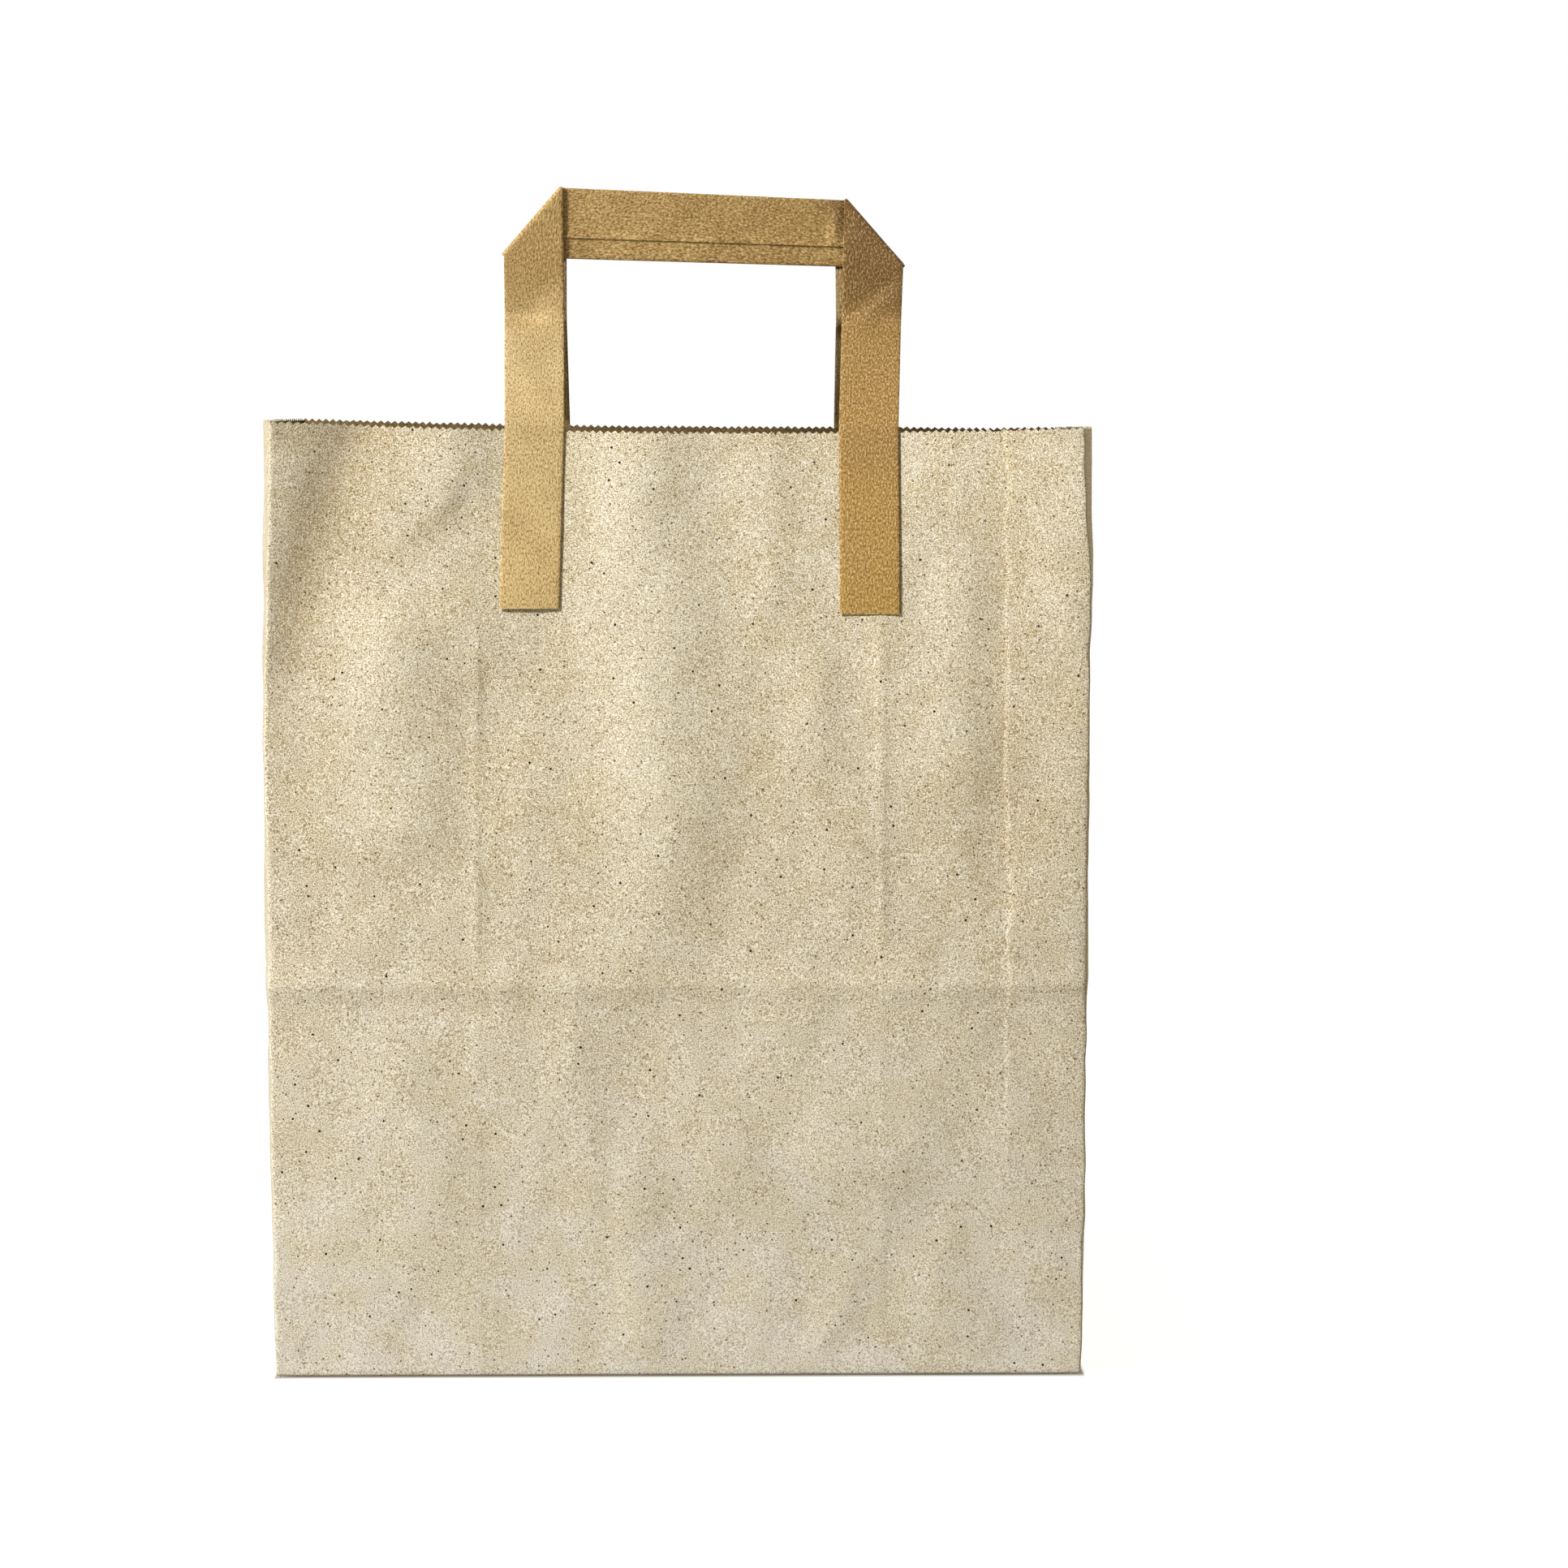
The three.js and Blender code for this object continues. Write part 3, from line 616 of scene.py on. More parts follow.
def stitch_rim(mesh, columns, outer_low, inner_low):
    """Closes the top with the pinked edge: a tooth tip over each full cell of the row below."""
    widths = np.diff(np.append(columns, PERIMETER))
    has_tip = np.isclose(widths, TOOTH_PITCH)
    start = np.arange(len(columns)) + np.concatenate(([0], np.cumsum(has_tip)[:-1]))
    travel = np.empty(len(columns) + has_tip.sum())
    travel[start] = columns
    travel[start[has_tip] + 1] = columns[has_tip] + TOOTH_PITCH / 2
    z = rim_height(travel) - tooth_cut(travel)
    z += RIM_RAGGEDNESS * np.random.default_rng(RIM_SEED).normal(size=z.shape)
    outer = sheet_point(travel, z)
    inner = outer - PAPER * sheet_normal(travel, z)
    outer_rim, inner_rim = mesh.add(outer), mesh.add(inner)
    ends = np.mod(start + np.where(has_tip, 2, 1), len(travel))
    for low, rim, facing_out in ((outer_low, outer_rim, True), (inner_low, inner_rim, False)):
        mesh.material = OUTSIDE if facing_out else INSIDE
        order = (0, 1, 2) if facing_out else (0, 2, 1)
        a, b = low, rolled(low)
        tip, first, last = rim[np.mod(start + 1, len(travel))], rim[start], rim[ends]
        for part in ((a, b, tip), (a, tip, first), (b, last, tip)):
            mesh.triangles(*(part[i][has_tip] for i in order))
        corners = (a, b, last, first)
        corners = corners if facing_out else corners[::-1]
        mesh.quads(*(part[~has_tip] for part in corners))
    mesh.material = OUTSIDE
    mesh.quads(outer_rim, rolled(outer_rim), rolled(inner_rim), inner_rim)


def add_ply(mesh, corners, bottom, top):
    """A flat ply with the given corners, counter-clockwise from above."""
    low = mesh.add([(x, y, bottom) for x, y in corners])
    high = mesh.add([(x, y, top) for x, y in corners])
    mesh.quads(low, rolled(low), rolled(high), high)
    mesh.quads(*(high[i:i + 1] for i in range(4)))
    mesh.quads(*(low[i:i + 1] for i in (3, 2, 1, 0)))


def add_base_flap(mesh, side, bottom):
    """A long flap of the base, its ends folded at 45 degrees."""
    root = side * (HALF_DEPTH - FOOT_RADIUS)
    tip = side * (HALF_DEPTH - FLAP_LENGTH)
    wide = HALF_WIDTH - FOOT_RADIUS
    narrow = HALF_WIDTH - FLAP_LENGTH
    corners = [(-wide, root), (wide, root), (narrow, tip), (-narrow, tip)]
    corners = corners if side == FRONT else corners[::-1]
    add_ply(mesh, corners, bottom, WALL_FOOT - PLY_CLEARANCE)


TUCK_LIFT = 0.9
TUCK_LIFT_RUN = 14.0
TUCK_EVENNESS = 0.6
TUCK_WAVES = (6, 30, 90)
TUCK_SEEDS = {LEFT: 71, RIGHT: 72}
TUCK_STEP = 3.0


def outline(grid):
    """The numbers round the edge of a grid of points, counter-clockwise from above."""
    return np.concatenate((grid[0, :-1], grid[:-1, -1], grid[-1, :0:-1], grid[:0:-1, 0]))


def add_tuck(mesh, side):
    """A gusset's tucked end, lying on the floor of the bag, its free edge lifted a little."""
    edge = HALF_DEPTH - PAPER - FOOT_RADIUS
    wall = HALF_WIDTH - PAPER - FOOT_RADIUS
    tuck_end = HALF_WIDTH - FLAP_LENGTH
    left, right = sorted((side * tuck_end, side * wall))
    xs = np.linspace(left, right, round((right - left) / TUCK_STEP) + 1)
    ys = np.linspace(-edge, edge, round(2 * edge / TUCK_STEP) + 1)
    x, y = np.meshgrid(xs, ys)
    uneven = TUCK_EVENNESS + (1 - TUCK_EVENNESS) * waves(TUCK_SEEDS[side], x, y, *TUCK_WAVES)
    lift = TUCK_LIFT * np.exp(-(side * x - tuck_end) / TUCK_LIFT_RUN) * uneven
    bottom = FLOOR_LEVEL + PLY_CLEARANCE + np.maximum(0, lift)
    low = mesh.add(np.stack((x, y, bottom), axis=-1))
    high = mesh.add(np.stack((x, y, bottom + PAPER), axis=-1))
    mesh.quads(high[:-1, :-1], high[:-1, 1:], high[1:, 1:], high[1:, :-1])
    mesh.quads(low[:-1, :-1], low[1:, :-1], low[1:, 1:], low[:-1, 1:])
    low_edge, high_edge = outline(low), outline(high)
    mesh.quads(low_edge, rolled(low_edge), rolled(high_edge), high_edge)


def make_bag_sheet():
    """The bag's sheet with its base plies, as one mesh."""
    mesh = Mesh()
    add_walls(mesh)
    add_base_flap(mesh, FRONT, FRONT_FLAP_LEVEL)
    add_base_flap(mesh, REAR, 0)
    mesh.material = INSIDE
    add_tuck(mesh, LEFT)
    add_tuck(mesh, RIGHT)
    return mesh.make("bag_sheet")


# The handles' own soft folds, seen from outside: the kink, its wrinkles and the bar's dents
HANDLE_FOLDS = (
    Fold((-47.5, 283.4), (-39, 282.6), -0.8, 6, 1.3, 3),
    Fold((-45, 289), (-36, 291), -0.3, 5, 4, 6),
    Fold((-43, 270), (-38, 262), 0.4, 4, 4, 5),
    Fold((44, 282), (55, 291), -1.0, 8, 2.2, 4),
    Fold((60, 279), (54, 281), -0.5, 3, 1.3, 2),
    Fold((46, 300), (54, 296), 0.4, 4, 4, 5),
    Fold((42.5, 311.5), (41.5, 304), 0.9, 3, 1.3, 2),
    Fold((45, 312), (45, 306), -0.6, 1.5, 3, 2),
    Fold((-28, 314), (-22, 300), -0.4, 5, 5),
)


def softened(path, reach):
    """Rounds a path's bends by averaging each point with those around it."""
    padded = np.concatenate((path[:1].repeat(reach, 0), path, path[-1:].repeat(reach, 0)))
    padded[:reach] = 2 * path[0] - path[1:reach + 1][::-1]
    padded[-reach:] = 2 * path[-1] - path[-reach - 1:-1][::-1]
    width = 2 * reach + 1
    return sum(padded[i:i + len(path)] for i in range(width)) / width


def leg_path(facing, hand):
    """One leg from its glued foot to its 45 degree fold: the tape's outer and inner edges, side by side."""
    leg = LEGS[facing, hand]
    out_step = hand * TAPE_WIDTH / 2
    rim = float(rim_height(travelled(leg.rim_x)))
    leaving = rim + LEG_RIM_CLEARANCE
    heights = np.linspace(leg.foot_z, leaving, round((leaving - leg.foot_z) / TAPE_STEP) + 1)
    centres = np.linspace(leg.foot_x, leg.rim_x, len(heights))
    stand_off = np.array((0, facing * (GLUE_GAP + TAPE_FULL_THICKNESS), 0))
    glued = [sheet_point(travelled(centres + step, facing), heights) + stand_off
             for step in (out_step, -out_step)]
    kink_share = KINK_ABOVE_RIM / FOLD_ABOVE_RIM[hand]
    edges = []
    for step, fold_above, wall in (
            (out_step, FOLD_ABOVE_RIM[hand], glued[0]),
            (-out_step, FOLD_ABOVE_RIM[hand] + FOLD_RISE[hand], glued[1])):
        kink_x = leg.rim_x + (leg.top_x - leg.rim_x) * kink_share + step
        kink = (kink_x, facing * KINK_HALF_GAP, rim + KINK_ABOVE_RIM)
        top_half_gap = KINK_HALF_GAP + TOP_LEAN * (fold_above - KINK_ABOVE_RIM)
        fold = (leg.top_x + step, facing * top_half_gap, rim + fold_above + leg.rise)
        edges.append((wall, np.array(kink), np.array(fold)))
    free_steps = round((KINK_ABOVE_RIM - LEG_RIM_CLEARANCE) / TAPE_STEP)
    rise_steps = round((FOLD_ABOVE_RIM[hand] - KINK_ABOVE_RIM) / TAPE_STEP)
    paths = []
    for (wall, kink, fold), reach in zip(edges, EDGE_SOFTENING):
        to_kink = wall[-1] + (kink - wall[-1]) * (np.arange(1, free_steps + 1) / free_steps)[:, None]
        to_fold = kink + (fold - kink) * (np.arange(1, rise_steps + 1) / rise_steps)[:, None]
        paths.append(softened(np.concatenate((wall, to_kink, to_fold)), reach))
    through = np.tile((0.0, -facing, 0.0), (len(paths[0]), 1))
    return paths[0], paths[1], through


def fold_path(end_outer, end_inner, facing):
    """The half turn of the tape round its 45 degree fold, to the bar behind the leg."""
    radius = TAPE_FULL_THICKNESS + FOLD_INNER_GAP / 2
    backward = np.array((0.0, -facing, 0.0))
    line = (end_inner - end_outer) * (1, 0, 1)
    line /= np.linalg.norm(line)
    beyond = np.array((line[2], 0, -line[0]))
    beyond *= np.sign(beyond[2])
    angles = math.pi * (np.arange(TAPE_FOLD_STEPS) + 1)[:, None] / TAPE_FOLD_STEPS
    shift = radius * (backward * (1 - np.cos(angles)) + beyond * np.sin(angles))
    through = backward * np.cos(angles) - beyond * np.sin(angles)
    return end_outer + shift, end_inner + shift, through


def handle_path(facing):
    """The whole tape: up the left leg, over its fold, along the bar behind both legs, and down."""
    parts = {}
    for hand in (LEFT, RIGHT):
        leg = leg_path(facing, hand)
        turn = fold_path(leg[0][-1], leg[1][-1], facing)
        parts[hand] = [np.concatenate(pair) for pair in zip(leg, turn)]
    start, stop = parts[LEFT], parts[RIGHT]
    span = np.linalg.norm(stop[1][-1] - start[1][-1])
    shares = np.arange(1, round(span / TAPE_STEP))[:, None] / round(span / TAPE_STEP)
    bar = [low[-1] + (high[-1] - low[-1]) * shares for low, high in zip(start, stop)]
    return [np.concatenate((low, middle, high[::-1])) for low, middle, high in zip(start, bar, stop)]


# The tape's section: its edges are rounded by shares of their width and of its thickness
TAPE_EDGE = 0.7
TAPE_EDGE_CURVE = ((0.45, 0.12), (0.12, 0.32), (0, 0.6), (0.3, 0.95))
TAPE_CELLS = 14
HEM_LIFT = 0.3
HEM_EDGE_SHARE = 0.9
HEM_ROUNDING = 0.4


def tape_section():
    """Points round the tape's section: the share of the way from its outer to its inner edge, and depth."""
    hem, main, full = HEM_SHARE, TAPE_THICKNESS, TAPE_FULL_THICKNESS
    edge = TAPE_EDGE / TAPE_WIDTH
    across = np.linspace(edge, 1 - edge, TAPE_CELLS + 1)
    front = [(share, 0) for share in across]
    inner_edge = [(1 - edge * inset, full * down) for inset, down in TAPE_EDGE_CURVE]
    back_hem = [(share, full) for share in across[::-1] if share > hem + edge]
    hem_top = (hem + edge * HEM_ROUNDING, full + HEM_LIFT)
    hem_step = [hem_top, (hem, full + HEM_LIFT * HEM_EDGE_SHARE), (hem, main)]
    back_main = [(share, main) for share in across[::-1] if share < hem - edge]
    outer_edge = [(edge * inset, main * down) for inset, down in reversed(TAPE_EDGE_CURVE)]
    return np.array(front + inner_edge + back_hem + hem_step + back_main + outer_edge)


def make_tape(name, facing):
    """A whole handle as one closed mesh, which also knows each point's place along and across the tape."""
    outer, inner, through = handle_path(facing)
    section = tape_section()
    share, depth = section[:, 0][None, :, None], section[:, 1][None, :, None]
    points = outer[:, None] + (inner - outer)[:, None] * share + through[:, None] * depth
    x, z = points[..., 0], points[..., 2]
    free = np.clip((z - BAG_HEIGHT) / TAPE_FREE_RUN, 0, 1)
    relief = with_cockles(fold_relief(HANDLE_FOLDS, x, z), TAPE_COCKLES, facing, x, z)
    points[..., 1] += facing * relief * free
    mesh = Mesh()
    ids = mesh.add(points)
    low, high = ids[:-1], ids[1:]
    corners = (low, rolled(low), rolled(high), high)
    mesh.quads(*(corners if facing == FRONT else corners[::-1]))
    middle = points.mean(axis=1)
    for end, faces_start in ((0, True), (-1, False)):
        hub = mesh.add(middle[end:][:1])
        a, b = ids[end], rolled(ids[end])
        forward = faces_start == (facing == FRONT)
        mesh.triangles(*((b, a, hub) if forward else (a, b, hub)))
    piece = mesh.make(name)
    steps = np.linalg.norm(np.diff((outer + inner) / 2, axis=0), axis=1)
    length = np.concatenate(([0], np.cumsum(steps)))
    length = length if facing == FRONT else length[-1] - length
    place = np.stack((
        np.broadcast_to(length[:, None], points.shape[:2]),
        np.broadcast_to(section[:, 0] * TAPE_WIDTH, points.shape[:2]),
        np.broadcast_to(section[:, 1], points.shape[:2])), axis=-1).reshape(-1, 3)
    place = np.concatenate((place, place[:1], place[-1:]))
    attribute = piece.data.attributes.new("tape_place", "FLOAT_VECTOR", "POINT")
    attribute.data.foreach_set("vector", place.ravel())
    return piece


DISPLAY_TOP = 255
SRGB_LINE_END = 0.04045
SRGB_LINE_SLOPE = 12.92
SRGB_OFFSET = 0.055
SRGB_POWER = 2.4
SHADER_MIDDLE = 0.5
WHITE = (1, 1, 1, 1)
UNSHADED = (1.0, 1.0, 1.0)


def linear(value):
    """A display value from 0 to 255 as a shader value, by the sRGB curve."""
    value /= DISPLAY_TOP
    if value <= SRGB_LINE_END:
        return value / SRGB_LINE_SLOPE
    return ((value + SRGB_OFFSET) / (1 + SRGB_OFFSET)) ** SRGB_POWER


class Nodes:
    """A material under construction, with a painted shade that its tones are multiplied by."""

    def __init__(self, name, painted_shade=UNSHADED):
        self.painted_shade = painted_shade
        self.material = bpy.data.materials.new(name)
        self.material.use_nodes = True
        self.tree = self.material.node_tree
        self.shader = self.tree.nodes["Principled BSDF"]

    def node(self, kind, inputs=(), **settings):
        node = self.tree.nodes.new(kind)
        for key, value in settings.items():
            setattr(node, key, value)
        for key, value in dict(inputs).items():
            if isinstance(value, bpy.types.NodeSocket):
                self.tree.links.new(value, node.inputs[key])
            else:
                node.inputs[key].default_value = value
        return node

    def tone(self, colour):
        """A display colour under this material's painted shade, as a shader colour."""
        return (*(linear(value * share) for value, share in zip(colour, self.painted_shade)), 1)

    def noise(self, place, scale, detail, roughness=0.5):
        inputs = {"Vector": place, "Scale": scale, "Detail": detail, "Roughness": roughness}
        return self.node("ShaderNodeTexNoise", inputs).outputs["Fac"]

    def cells(self, place, scale):
        """How far a place is from the nearest of many scattered points."""
        return self.node("ShaderNodeTexVoronoi", {"Vector": place, "Scale": scale}).outputs["Distance"]

    def spread(self, value, low, high, to_low=0.0, to_high=1.0):
        inputs = {"Value": value, "From Min": low, "From Max": high, "To Min": to_low, "To Max": to_high}
        return self.node("ShaderNodeMapRange", inputs).outputs["Result"]

    def mixed(self, share, first, second):
        """A mix of two colours. A mix node has other inputs and outputs for numbers and vectors between."""
        node = self.node("ShaderNodeMix", data_type="RGBA")
        for index, value in ((0, share), (6, first), (7, second)):
            if isinstance(value, bpy.types.NodeSocket):
                self.tree.links.new(value, node.inputs[index])
            else:
                node.inputs[index].default_value = value
        return node.outputs[2]

    def math(self, operation, first, second):
        return self.node("ShaderNodeMath", {0: first, 1: second}, operation=operation).outputs[0]

    def attribute(self, name):
        return self.node("ShaderNodeAttribute", attribute_name=name).outputs

    def stretched(self, place, stretch):
        return self.node("ShaderNodeMapping", {"Vector": place, "Scale": stretch}).outputs["Vector"]

    def place(self, stretch=(1, 1, 1)):
        """The place in the object, in millimetres times the stretch."""
        source = self.node("ShaderNodeTexCoord").outputs["Object"]
        return self.stretched(source, [value / MM for value in stretch])

    def along(self, vector, axis):
        return self.node("ShaderNodeSeparateXYZ", {0: vector}).outputs[axis]

    def patches(self, place, scale, reach, share=1.0):
        """Soft broad patches, from 0 to the given share."""
        noise = self.noise(place, scale, PATCH_DETAIL)
        return self.spread(noise, SHADER_MIDDLE - reach, SHADER_MIDDLE + reach, 0, share)

    def finish(self, colour, grain, kind):
        """Links a paper's colour, and the sheen and relief that its grain gives it."""
        self.tree.links.new(colour, self.shader.inputs["Base Color"])
        rough = self.spread(grain, *GRAIN_ROUGH_SPREAD, *kind.rough)
        self.tree.links.new(rough, self.shader.inputs["Roughness"])
        self.shader.inputs["Specular IOR Level"].default_value = kind.gloss
        bump = self.node("ShaderNodeBump", {"Height": grain, "Strength": 1.0, "Distance": kind.relief})
        self.tree.links.new(bump.outputs["Normal"], self.shader.inputs["Normal"])
        return self.material


# A paper's grain: its scale and detail, how far from the middle its darks and lights reach, their tones and
# strengths, its roughness in the hollows and on the tips, its gloss, and its relief in metres
Grain = namedtuple("Grain", "scale detail reach dark dark_share light light_share rough gloss relief")
BAG_GRAIN = Grain(2.9, 2, 0.15, (122, 88, 44), 0.88, (255, 253, 244), 0.85, (0.94, 0.82), 0.3, 0.00012)
TAPE_GRAIN = Grain(1.9, 3, 0.16, (98, 68, 28), 0.9, (246, 218, 158), 0.6, (0.7, 0.55), 0.35, 0.00022)
GRAIN_ROUGHNESS = 0.7
GRAIN_ROUGH_SPREAD = (0.3, 0.7)
PATCH_DETAIL = 4

# The kraft sheet's tones as display values: patches of two tones high up, and of two near the foot, which are
# paler and greyer as painted light from the floor below
TOP_TONES = ((209, 199, 170), (199, 186, 147))
TOP_PATCH_SCALE = 0.09
LOW_TONES_WITH_PAINTED_LIGHT = ((220, 214, 200), (211, 202, 176))
LOW_PATCH_SCALE = 0.08
BAG_PATCH_REACH = 0.12
TONE_HEIGHTS = (5, 150)
# Paler where the front folds stand proud and at the corner folds, partly rubbed paper and partly painted
# light; browner in the hollows, as painted shade
RUBBED_AND_PAINTED_LIGHT_TONE = (232, 227, 204)
RUBBED_AND_PAINTED_LIGHT_SHARE = 0.3
HOLLOW_PAINTED_SHADE_TONE = (190, 165, 114)
HOLLOW_PAINTED_SHADE_SHARE = 0.5
FINE_GRAIN_HEIGHTS = (0, 120)
FINE_GRAIN_SHARES = (0.75, 1.0)

Fleck = namedtuple("Fleck", "scale radius share tone")
FLECKS = (
    Fleck(0.2, 0.08, 1.0, (24, 16, 8)),
    Fleck(0.42, 0.13, 0.9, (84, 58, 28)),
    Fleck(0.9, 0.2, 0.6, (122, 92, 50)),
)
FLECK_CORE = 0.75

Fibre = namedtuple("Fibre", "stretch share tone")
FIBRES = (
    Fibre((0.9, 0.9, 0.22), 0.4, (148, 122, 82)),
    Fibre((0.26, 0.9, 1.0), 0.45, (246, 240, 220)),
)
FIBRE_SCALE = 0.6
FIBRE_RADIUS = 0.12
FIBRE_CORE = 0.07


def with_grain(nodes, colour, grain, kind, depth):
    """A colour with the darks and the lights of a paper's grain, as strong as the depth says."""
    middle = SHADER_MIDDLE
    for reach, share, tone in (
            (-kind.reach, kind.dark_share, kind.dark), (kind.reach, kind.light_share, kind.light)):
        strength = nodes.math("MULTIPLY", depth, nodes.spread(grain, middle, middle + reach, 0, share))
        colour = nodes.mixed(strength, colour, nodes.tone(tone))
    return colour


def bag_paper(name, painted_shade):
    """Recycled kraft: grained, with dark flecks and fibres; paler near its foot as painted light, and less
    grained there; paler on ridges as rubbed paper and painted light, and browner in hollows as painted shade.
    """
    nodes = Nodes(name, painted_shade)
    place = nodes.place()
    height = nodes.along(place, "Z")
    top, low = (
        nodes.mixed(nodes.patches(place, scale, BAG_PATCH_REACH), nodes.tone(tones[0]), nodes.tone(tones[1]))
        for scale, tones in ((TOP_PATCH_SCALE, TOP_TONES), (LOW_PATCH_SCALE, LOW_TONES_WITH_PAINTED_LIGHT)))
    colour = nodes.mixed(nodes.spread(height, *TONE_HEIGHTS), low, top)
    # Painted light and shade from the folds' relief: paler ridges, partly rubbed paper, and browner hollows
    wear_and_shade_mark = nodes.attribute("wear_and_shade")["Fac"]
    for end, share, tone in ((1, RUBBED_AND_PAINTED_LIGHT_SHARE, RUBBED_AND_PAINTED_LIGHT_TONE), (0, HOLLOW_PAINTED_SHADE_SHARE, HOLLOW_PAINTED_SHADE_TONE)):
        colour = nodes.mixed(nodes.spread(wear_and_shade_mark, PLAIN_WEAR_AND_SHADE, end, 0, share), colour, nodes.tone(tone))
    grain = nodes.noise(place, BAG_GRAIN.scale, BAG_GRAIN.detail, GRAIN_ROUGHNESS)
    depth = nodes.spread(height, *FINE_GRAIN_HEIGHTS, *FINE_GRAIN_SHARES)
    colour = with_grain(nodes, colour, grain, BAG_GRAIN, depth)
    for fleck in FLECKS:
        cells = nodes.cells(place, fleck.scale)
        spot = nodes.spread(cells, fleck.radius, fleck.radius * FLECK_CORE, 0, fleck.share)
        colour = nodes.mixed(spot, colour, nodes.tone(fleck.tone))
    for fibre in FIBRES:
        cells = nodes.cells(nodes.place(fibre.stretch), FIBRE_SCALE)
        strand = nodes.spread(cells, FIBRE_RADIUS, FIBRE_CORE, 0, fibre.share)
        colour = nodes.mixed(strand, colour, nodes.tone(fibre.tone))
    return nodes.finish(colour, grain, BAG_GRAIN)


# The tape's tones by the share of its length, from the foot of the left leg: its own golden brown, deeper
# towards the right leg, with painted shade above the left kink and along the bar, and darkest painted shade
# at the right fold and above the right kink
TAPE_LENGTH = 302.0
TAPE_TONES_AND_PAINTED_SHADE = (
    (0.0, (208, 180, 121)), (0.25, (201, 179, 129)), (0.31, (182, 151, 93)), (0.63, (164, 132, 75)),
    (0.66, (97, 67, 25)), (0.72, (111, 78, 30)), (0.78, (146, 111, 48)), (1.0, (167, 130, 57)))
TAPE_PATCH_SCALE = 0.07
TAPE_PATCH_REACH = 0.15
TAPE_PATCH_SHARE = 0.4
TAPE_PATCH_TONE = (150, 112, 62)
TAPE_GRAIN_STRETCH = (0.7, 1.2, 1)


def tape_paper(name, painted_shade):
    """Machine-glazed kraft tape: golden brown, deeper towards one end, with painted shade in its tones along
    its length, and with a fine embossed grain.
    """
    nodes = Nodes(name, painted_shade)
    place = nodes.attribute("tape_place")["Vector"]
    ramp = nodes.node("ShaderNodeValToRGB", {"Fac": nodes.spread(nodes.along(place, "X"), 0, TAPE_LENGTH)})
    elements = ramp.color_ramp.elements
    while len(elements) < len(TAPE_TONES_AND_PAINTED_SHADE):
        elements.new(SHADER_MIDDLE)
    for element, (position, tone) in zip(elements, TAPE_TONES_AND_PAINTED_SHADE):
        element.position = position
        element.color = nodes.tone(tone)
    patches = nodes.patches(place, TAPE_PATCH_SCALE, TAPE_PATCH_REACH, TAPE_PATCH_SHARE)
    colour = nodes.mixed(patches, ramp.outputs["Color"], nodes.tone(TAPE_PATCH_TONE))
    grained = nodes.stretched(place, TAPE_GRAIN_STRETCH)
    grain = nodes.noise(grained, TAPE_GRAIN.scale, TAPE_GRAIN.detail, GRAIN_ROUGHNESS)
    colour = with_grain(nodes, colour, grain, TAPE_GRAIN, 1.0)
    return nodes.finish(colour, grain, TAPE_GRAIN)


# The camera, fitted to the corners of the base, the rim and the handles in the photograph
CAMERA_PLACE = (0.002, -1.438, 0.2644)
CAMERA_DOWN = 4.353
CAMERA_TURN = -1.071
CAMERA_LENS = 120.0
CAMERA_SENSOR = 36.0


def make_camera():
    """The camera at the photograph's viewing angle."""
    data = bpy.data.cameras.new("camera")
    data.lens = CAMERA_LENS
    data.sensor_width = CAMERA_SENSOR
    camera = bpy.data.objects.new("camera", data)
    camera.location = CAMERA_PLACE
    camera.rotation_euler = (math.radians(90 - CAMERA_DOWN), 0, math.radians(CAMERA_TURN))
    bpy.context.scene.collection.objects.link(camera)
    bpy.context.scene.camera = camera


# The key comes from the front left, and a weak warm fill behind the bag lifts its shaded sides
Lamp = namedtuple("Lamp", "name place size power colour")
LAMPS = (
    Lamp("key", (-1.32, -1.12, 1.25), 0.4, 58.0, (1.0, 1.0, 1.0)),
    Lamp("fill", (1.6, 1.35, 0.8), 1.2, 14.0, (1.0, 0.84, 0.58)),
)
LAMP_TARGET = (0, 0, 0.14)
WORLD_LEVEL = 0.18
WORLD_COLOUR = (1.0, 0.84, 0.54, 1)


def make_lights():
    """Square soft lights that face the bag."""
    for lamp in LAMPS:
        data = bpy.data.lights.new(lamp.name, "AREA")
        data.shape = "SQUARE"
        data.size = lamp.size
        data.energy = lamp.power
        data.color = lamp.colour
        light = bpy.data.objects.new(lamp.name, data)
        light.location = lamp.place
        to_target = np.subtract(LAMP_TARGET, lamp.place)
        yaw = math.atan2(to_target[1], to_target[0]) - math.pi / 2
        drop = math.atan2(-to_target[2], math.hypot(to_target[0], to_target[1]))
        light.rotation_euler = (math.pi / 2 - drop, 0, yaw)
        bpy.context.scene.collection.objects.link(light)


def shows_plain(tree):
    """1 for what the camera sees straight, in a mirror or through glass, and 0 for light on the object."""
    path = tree.nodes.new("ShaderNodeLightPath").outputs
    value = path["Is Camera Ray"]
    for other in ("Is Glossy Ray", "Is Transmission Ray"):
        either = tree.nodes.new("ShaderNodeMath")
        either.operation = "MAXIMUM"
        tree.links.new(value, either.inputs[0])
        tree.links.new(path[other], either.inputs[1])
        value = either.outputs[0]
    return value


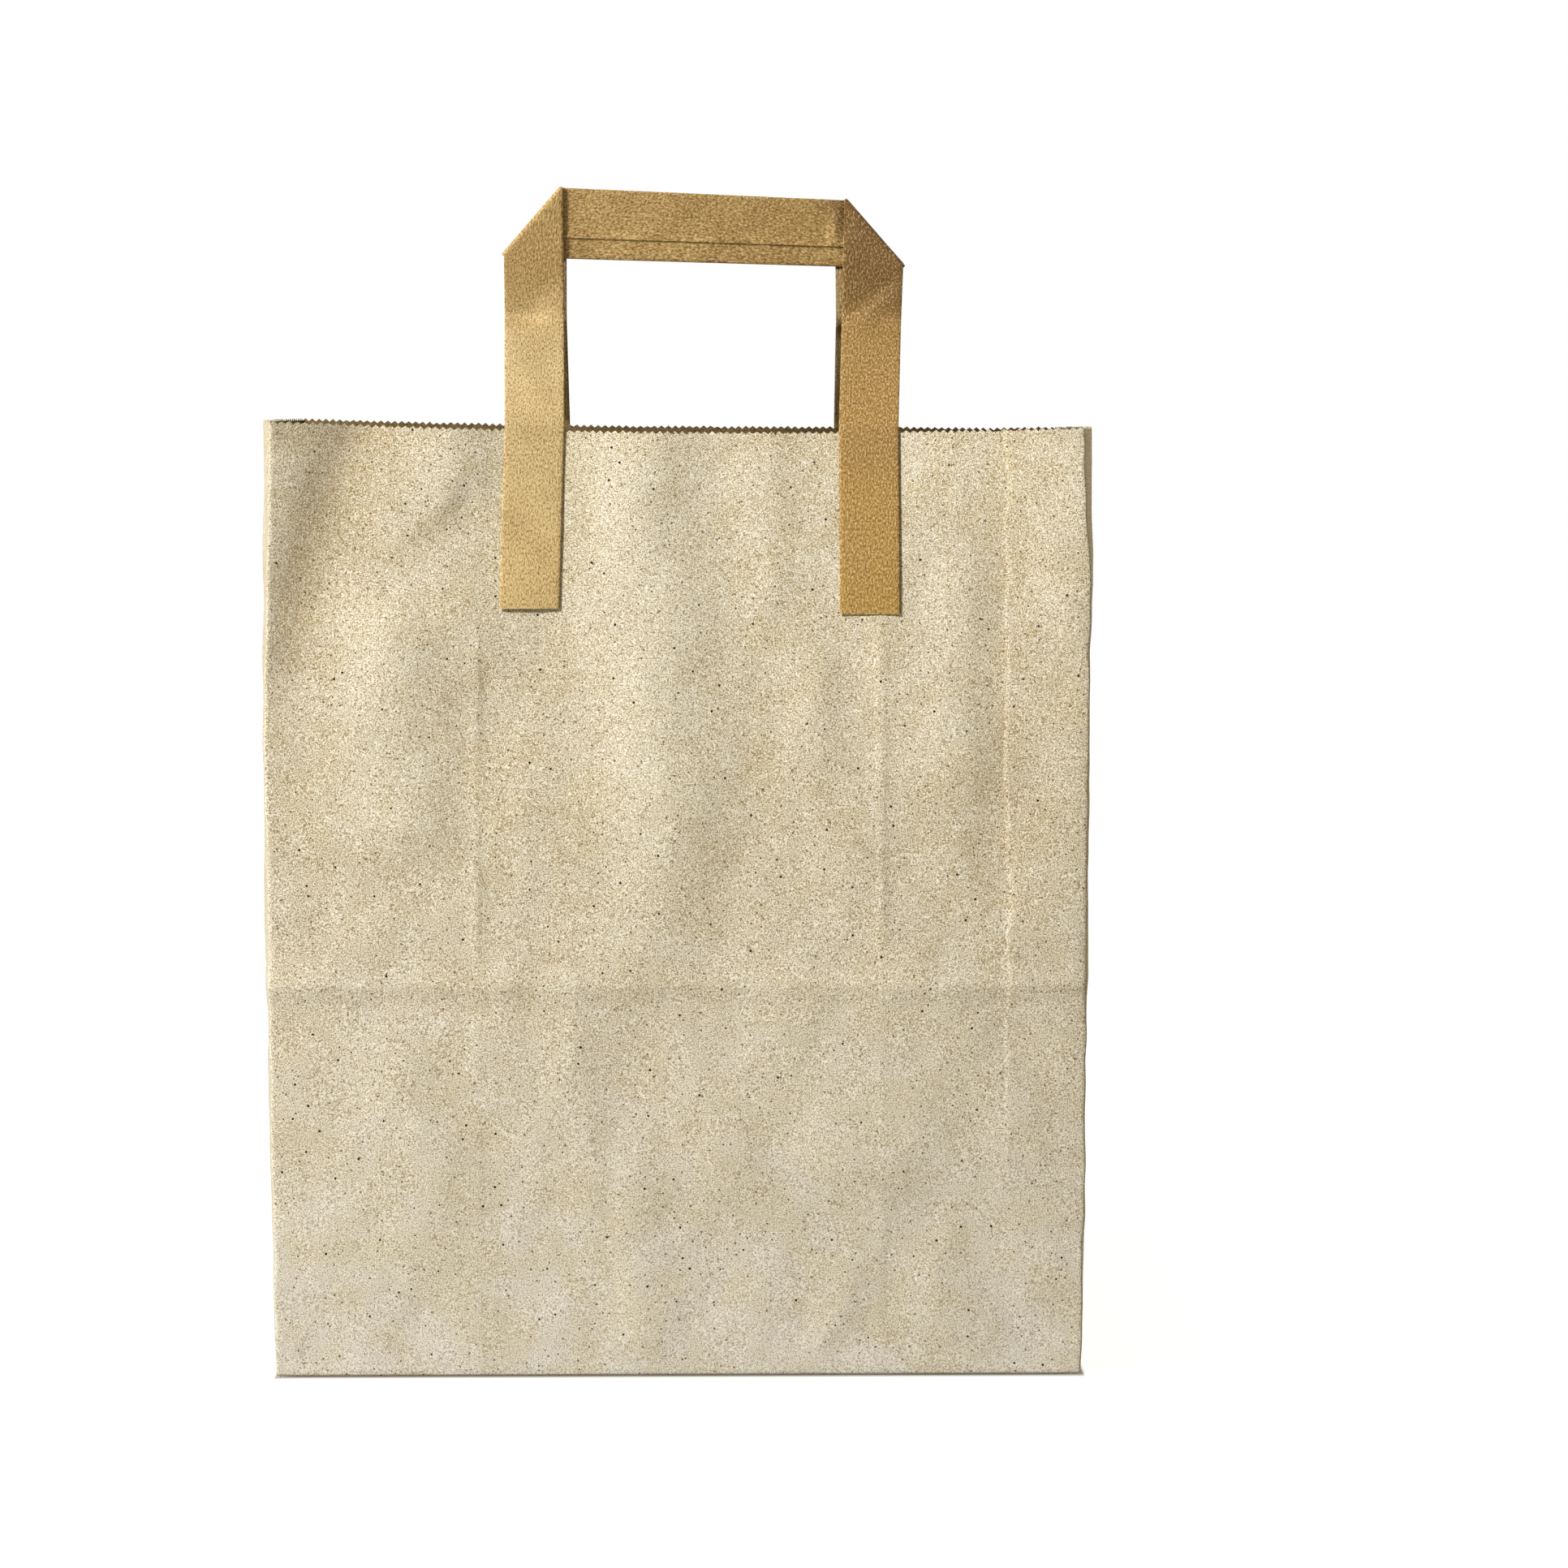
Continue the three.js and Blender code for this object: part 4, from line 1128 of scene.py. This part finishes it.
def make_world():
    """White where it is seen, and a soft level light on the object."""
    world = bpy.data.worlds.new("studio")
    world.use_nodes = True
    bpy.context.scene.world = world
    tree = world.node_tree
    unlit = tree.nodes["Background"]
    unlit.inputs["Color"].default_value = WORLD_COLOUR
    unlit.inputs["Strength"].default_value = WORLD_LEVEL
    white = tree.nodes.new("ShaderNodeBackground")
    white.inputs["Color"].default_value = WHITE
    mixed = tree.nodes.new("ShaderNodeMixShader")
    tree.links.new(shows_plain(tree), mixed.inputs["Fac"])
    tree.links.new(unlit.outputs["Background"], mixed.inputs[1])
    tree.links.new(white.outputs["Background"], mixed.inputs[2])
    tree.links.new(mixed.outputs["Shader"], tree.nodes["World Output"].inputs["Surface"])


FLOOR_HALF = 4.0
FLOOR_COLOUR = (0.36, 0.34, 0.3, 1)
FLOOR_GLOW = 0.92
# The glow falls to this share along the base's edge, as a painted contact shadow
PAINTED_CONTACT_SHADOW_GLOW = 0.15
CONTACT_RUN = 0.0035
CONTACT_SIDE_SHARE = 4.0
FLOOR_FAR = 0.4


def from_base(nodes):
    """How far a place on the floor is from the bag's base, in metres."""
    source = nodes.node("ShaderNodeTexCoord").outputs["Object"]
    split = nodes.node("ShaderNodeSeparateXYZ", {0: source}).outputs
    past_side = nodes.math("SUBTRACT", nodes.math("ABSOLUTE", split["X"], 0.0), HALF_WIDTH * MM)
    past_side = nodes.math("MULTIPLY", past_side, CONTACT_SIDE_SHARE)
    past_face = nodes.math("SUBTRACT", nodes.math("ABSOLUTE", split["Y"], 0.0), HALF_DEPTH * MM)
    return nodes.math("MAXIMUM", past_side, past_face)


def make_floor():
    """A pale floor: its own colour takes the shadow, and a glow that only the camera sees keeps it white,
    dimmed along the base as a painted contact shadow.
    """
    corners = [(x * FLOOR_HALF, y * FLOOR_HALF, 0) for x, y in ((-1, -1), (1, -1), (1, 1), (-1, 1))]
    mesh = bpy.data.meshes.new("floor")
    mesh.from_pydata(corners, [], [(0, 1, 2, 3)])
    floor = bpy.data.objects.new("floor", mesh)
    bpy.context.scene.collection.objects.link(floor)
    nodes = Nodes("floor_paint")
    nodes.shader.inputs["Base Color"].default_value = FLOOR_COLOUR
    nodes.shader.inputs["Roughness"].default_value = 1.0
    nodes.shader.inputs["Specular IOR Level"].default_value = 0.0
    nodes.shader.inputs["Emission Color"].default_value = WHITE
    distance = from_base(nodes)
    # Painted contact shadow: the glow is dimmed in a thin band along the base
    near = nodes.spread(distance, 0.0, CONTACT_RUN, PAINTED_CONTACT_SHADOW_GLOW, 1.0)
    far = nodes.spread(distance, CONTACT_RUN, FLOOR_FAR, FLOOR_GLOW, 1.0)
    glow = nodes.math("MULTIPLY", near, far)
    seen = nodes.math("MULTIPLY", glow, shows_plain(nodes.tree))
    nodes.tree.links.new(seen, nodes.shader.inputs["Emission Strength"])
    mesh.materials.append(nodes.material)


# Painted shade: the rear tape's paper is darker all over
REAR_TAPE_PAINTED_SHADE = (0.8, 0.8, 0.8)
# The bag's inner face is browner and darker than its outer face: partly its own colour, partly painted shade
INSIDE_PAINTED_SHADE = (0.55, 0.48, 0.35)


def dress(piece, materials, node):
    """Gives a piece its paper, and lets it take its CAD node's place."""
    for material in materials:
        piece.data.materials.append(material)
    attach(piece, "root")
    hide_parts(node)


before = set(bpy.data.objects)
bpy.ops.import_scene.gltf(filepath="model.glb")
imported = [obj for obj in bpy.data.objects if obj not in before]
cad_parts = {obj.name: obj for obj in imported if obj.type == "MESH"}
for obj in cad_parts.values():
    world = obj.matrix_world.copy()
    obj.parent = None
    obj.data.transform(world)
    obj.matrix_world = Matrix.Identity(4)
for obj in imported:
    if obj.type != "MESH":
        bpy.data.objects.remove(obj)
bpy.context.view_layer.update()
bpy.context.scene.view_settings.view_transform = "Standard"
make_camera()
make_lights()
make_world()
make_floor()
# The bag's inner face takes a darker copy of its paper: partly its own browner colour, partly painted shade
kraft = [bag_paper("bag_paper", UNSHADED), bag_paper("bag_paper_inside_painted_shade", INSIDE_PAINTED_SHADE)]
front_tape = [tape_paper("tape_paper", UNSHADED)]
# The rear tape's darker copy of its paper is painted shade
rear_tape = [tape_paper("tape_paper_rear_painted_shade", REAR_TAPE_PAINTED_SHADE)]
dress(make_bag_sheet(), kraft, "bag_body")
dress(make_tape("front_tape", FRONT), front_tape, "front_handle")
dress(make_tape("rear_tape", REAR), rear_tape, "rear_handle")
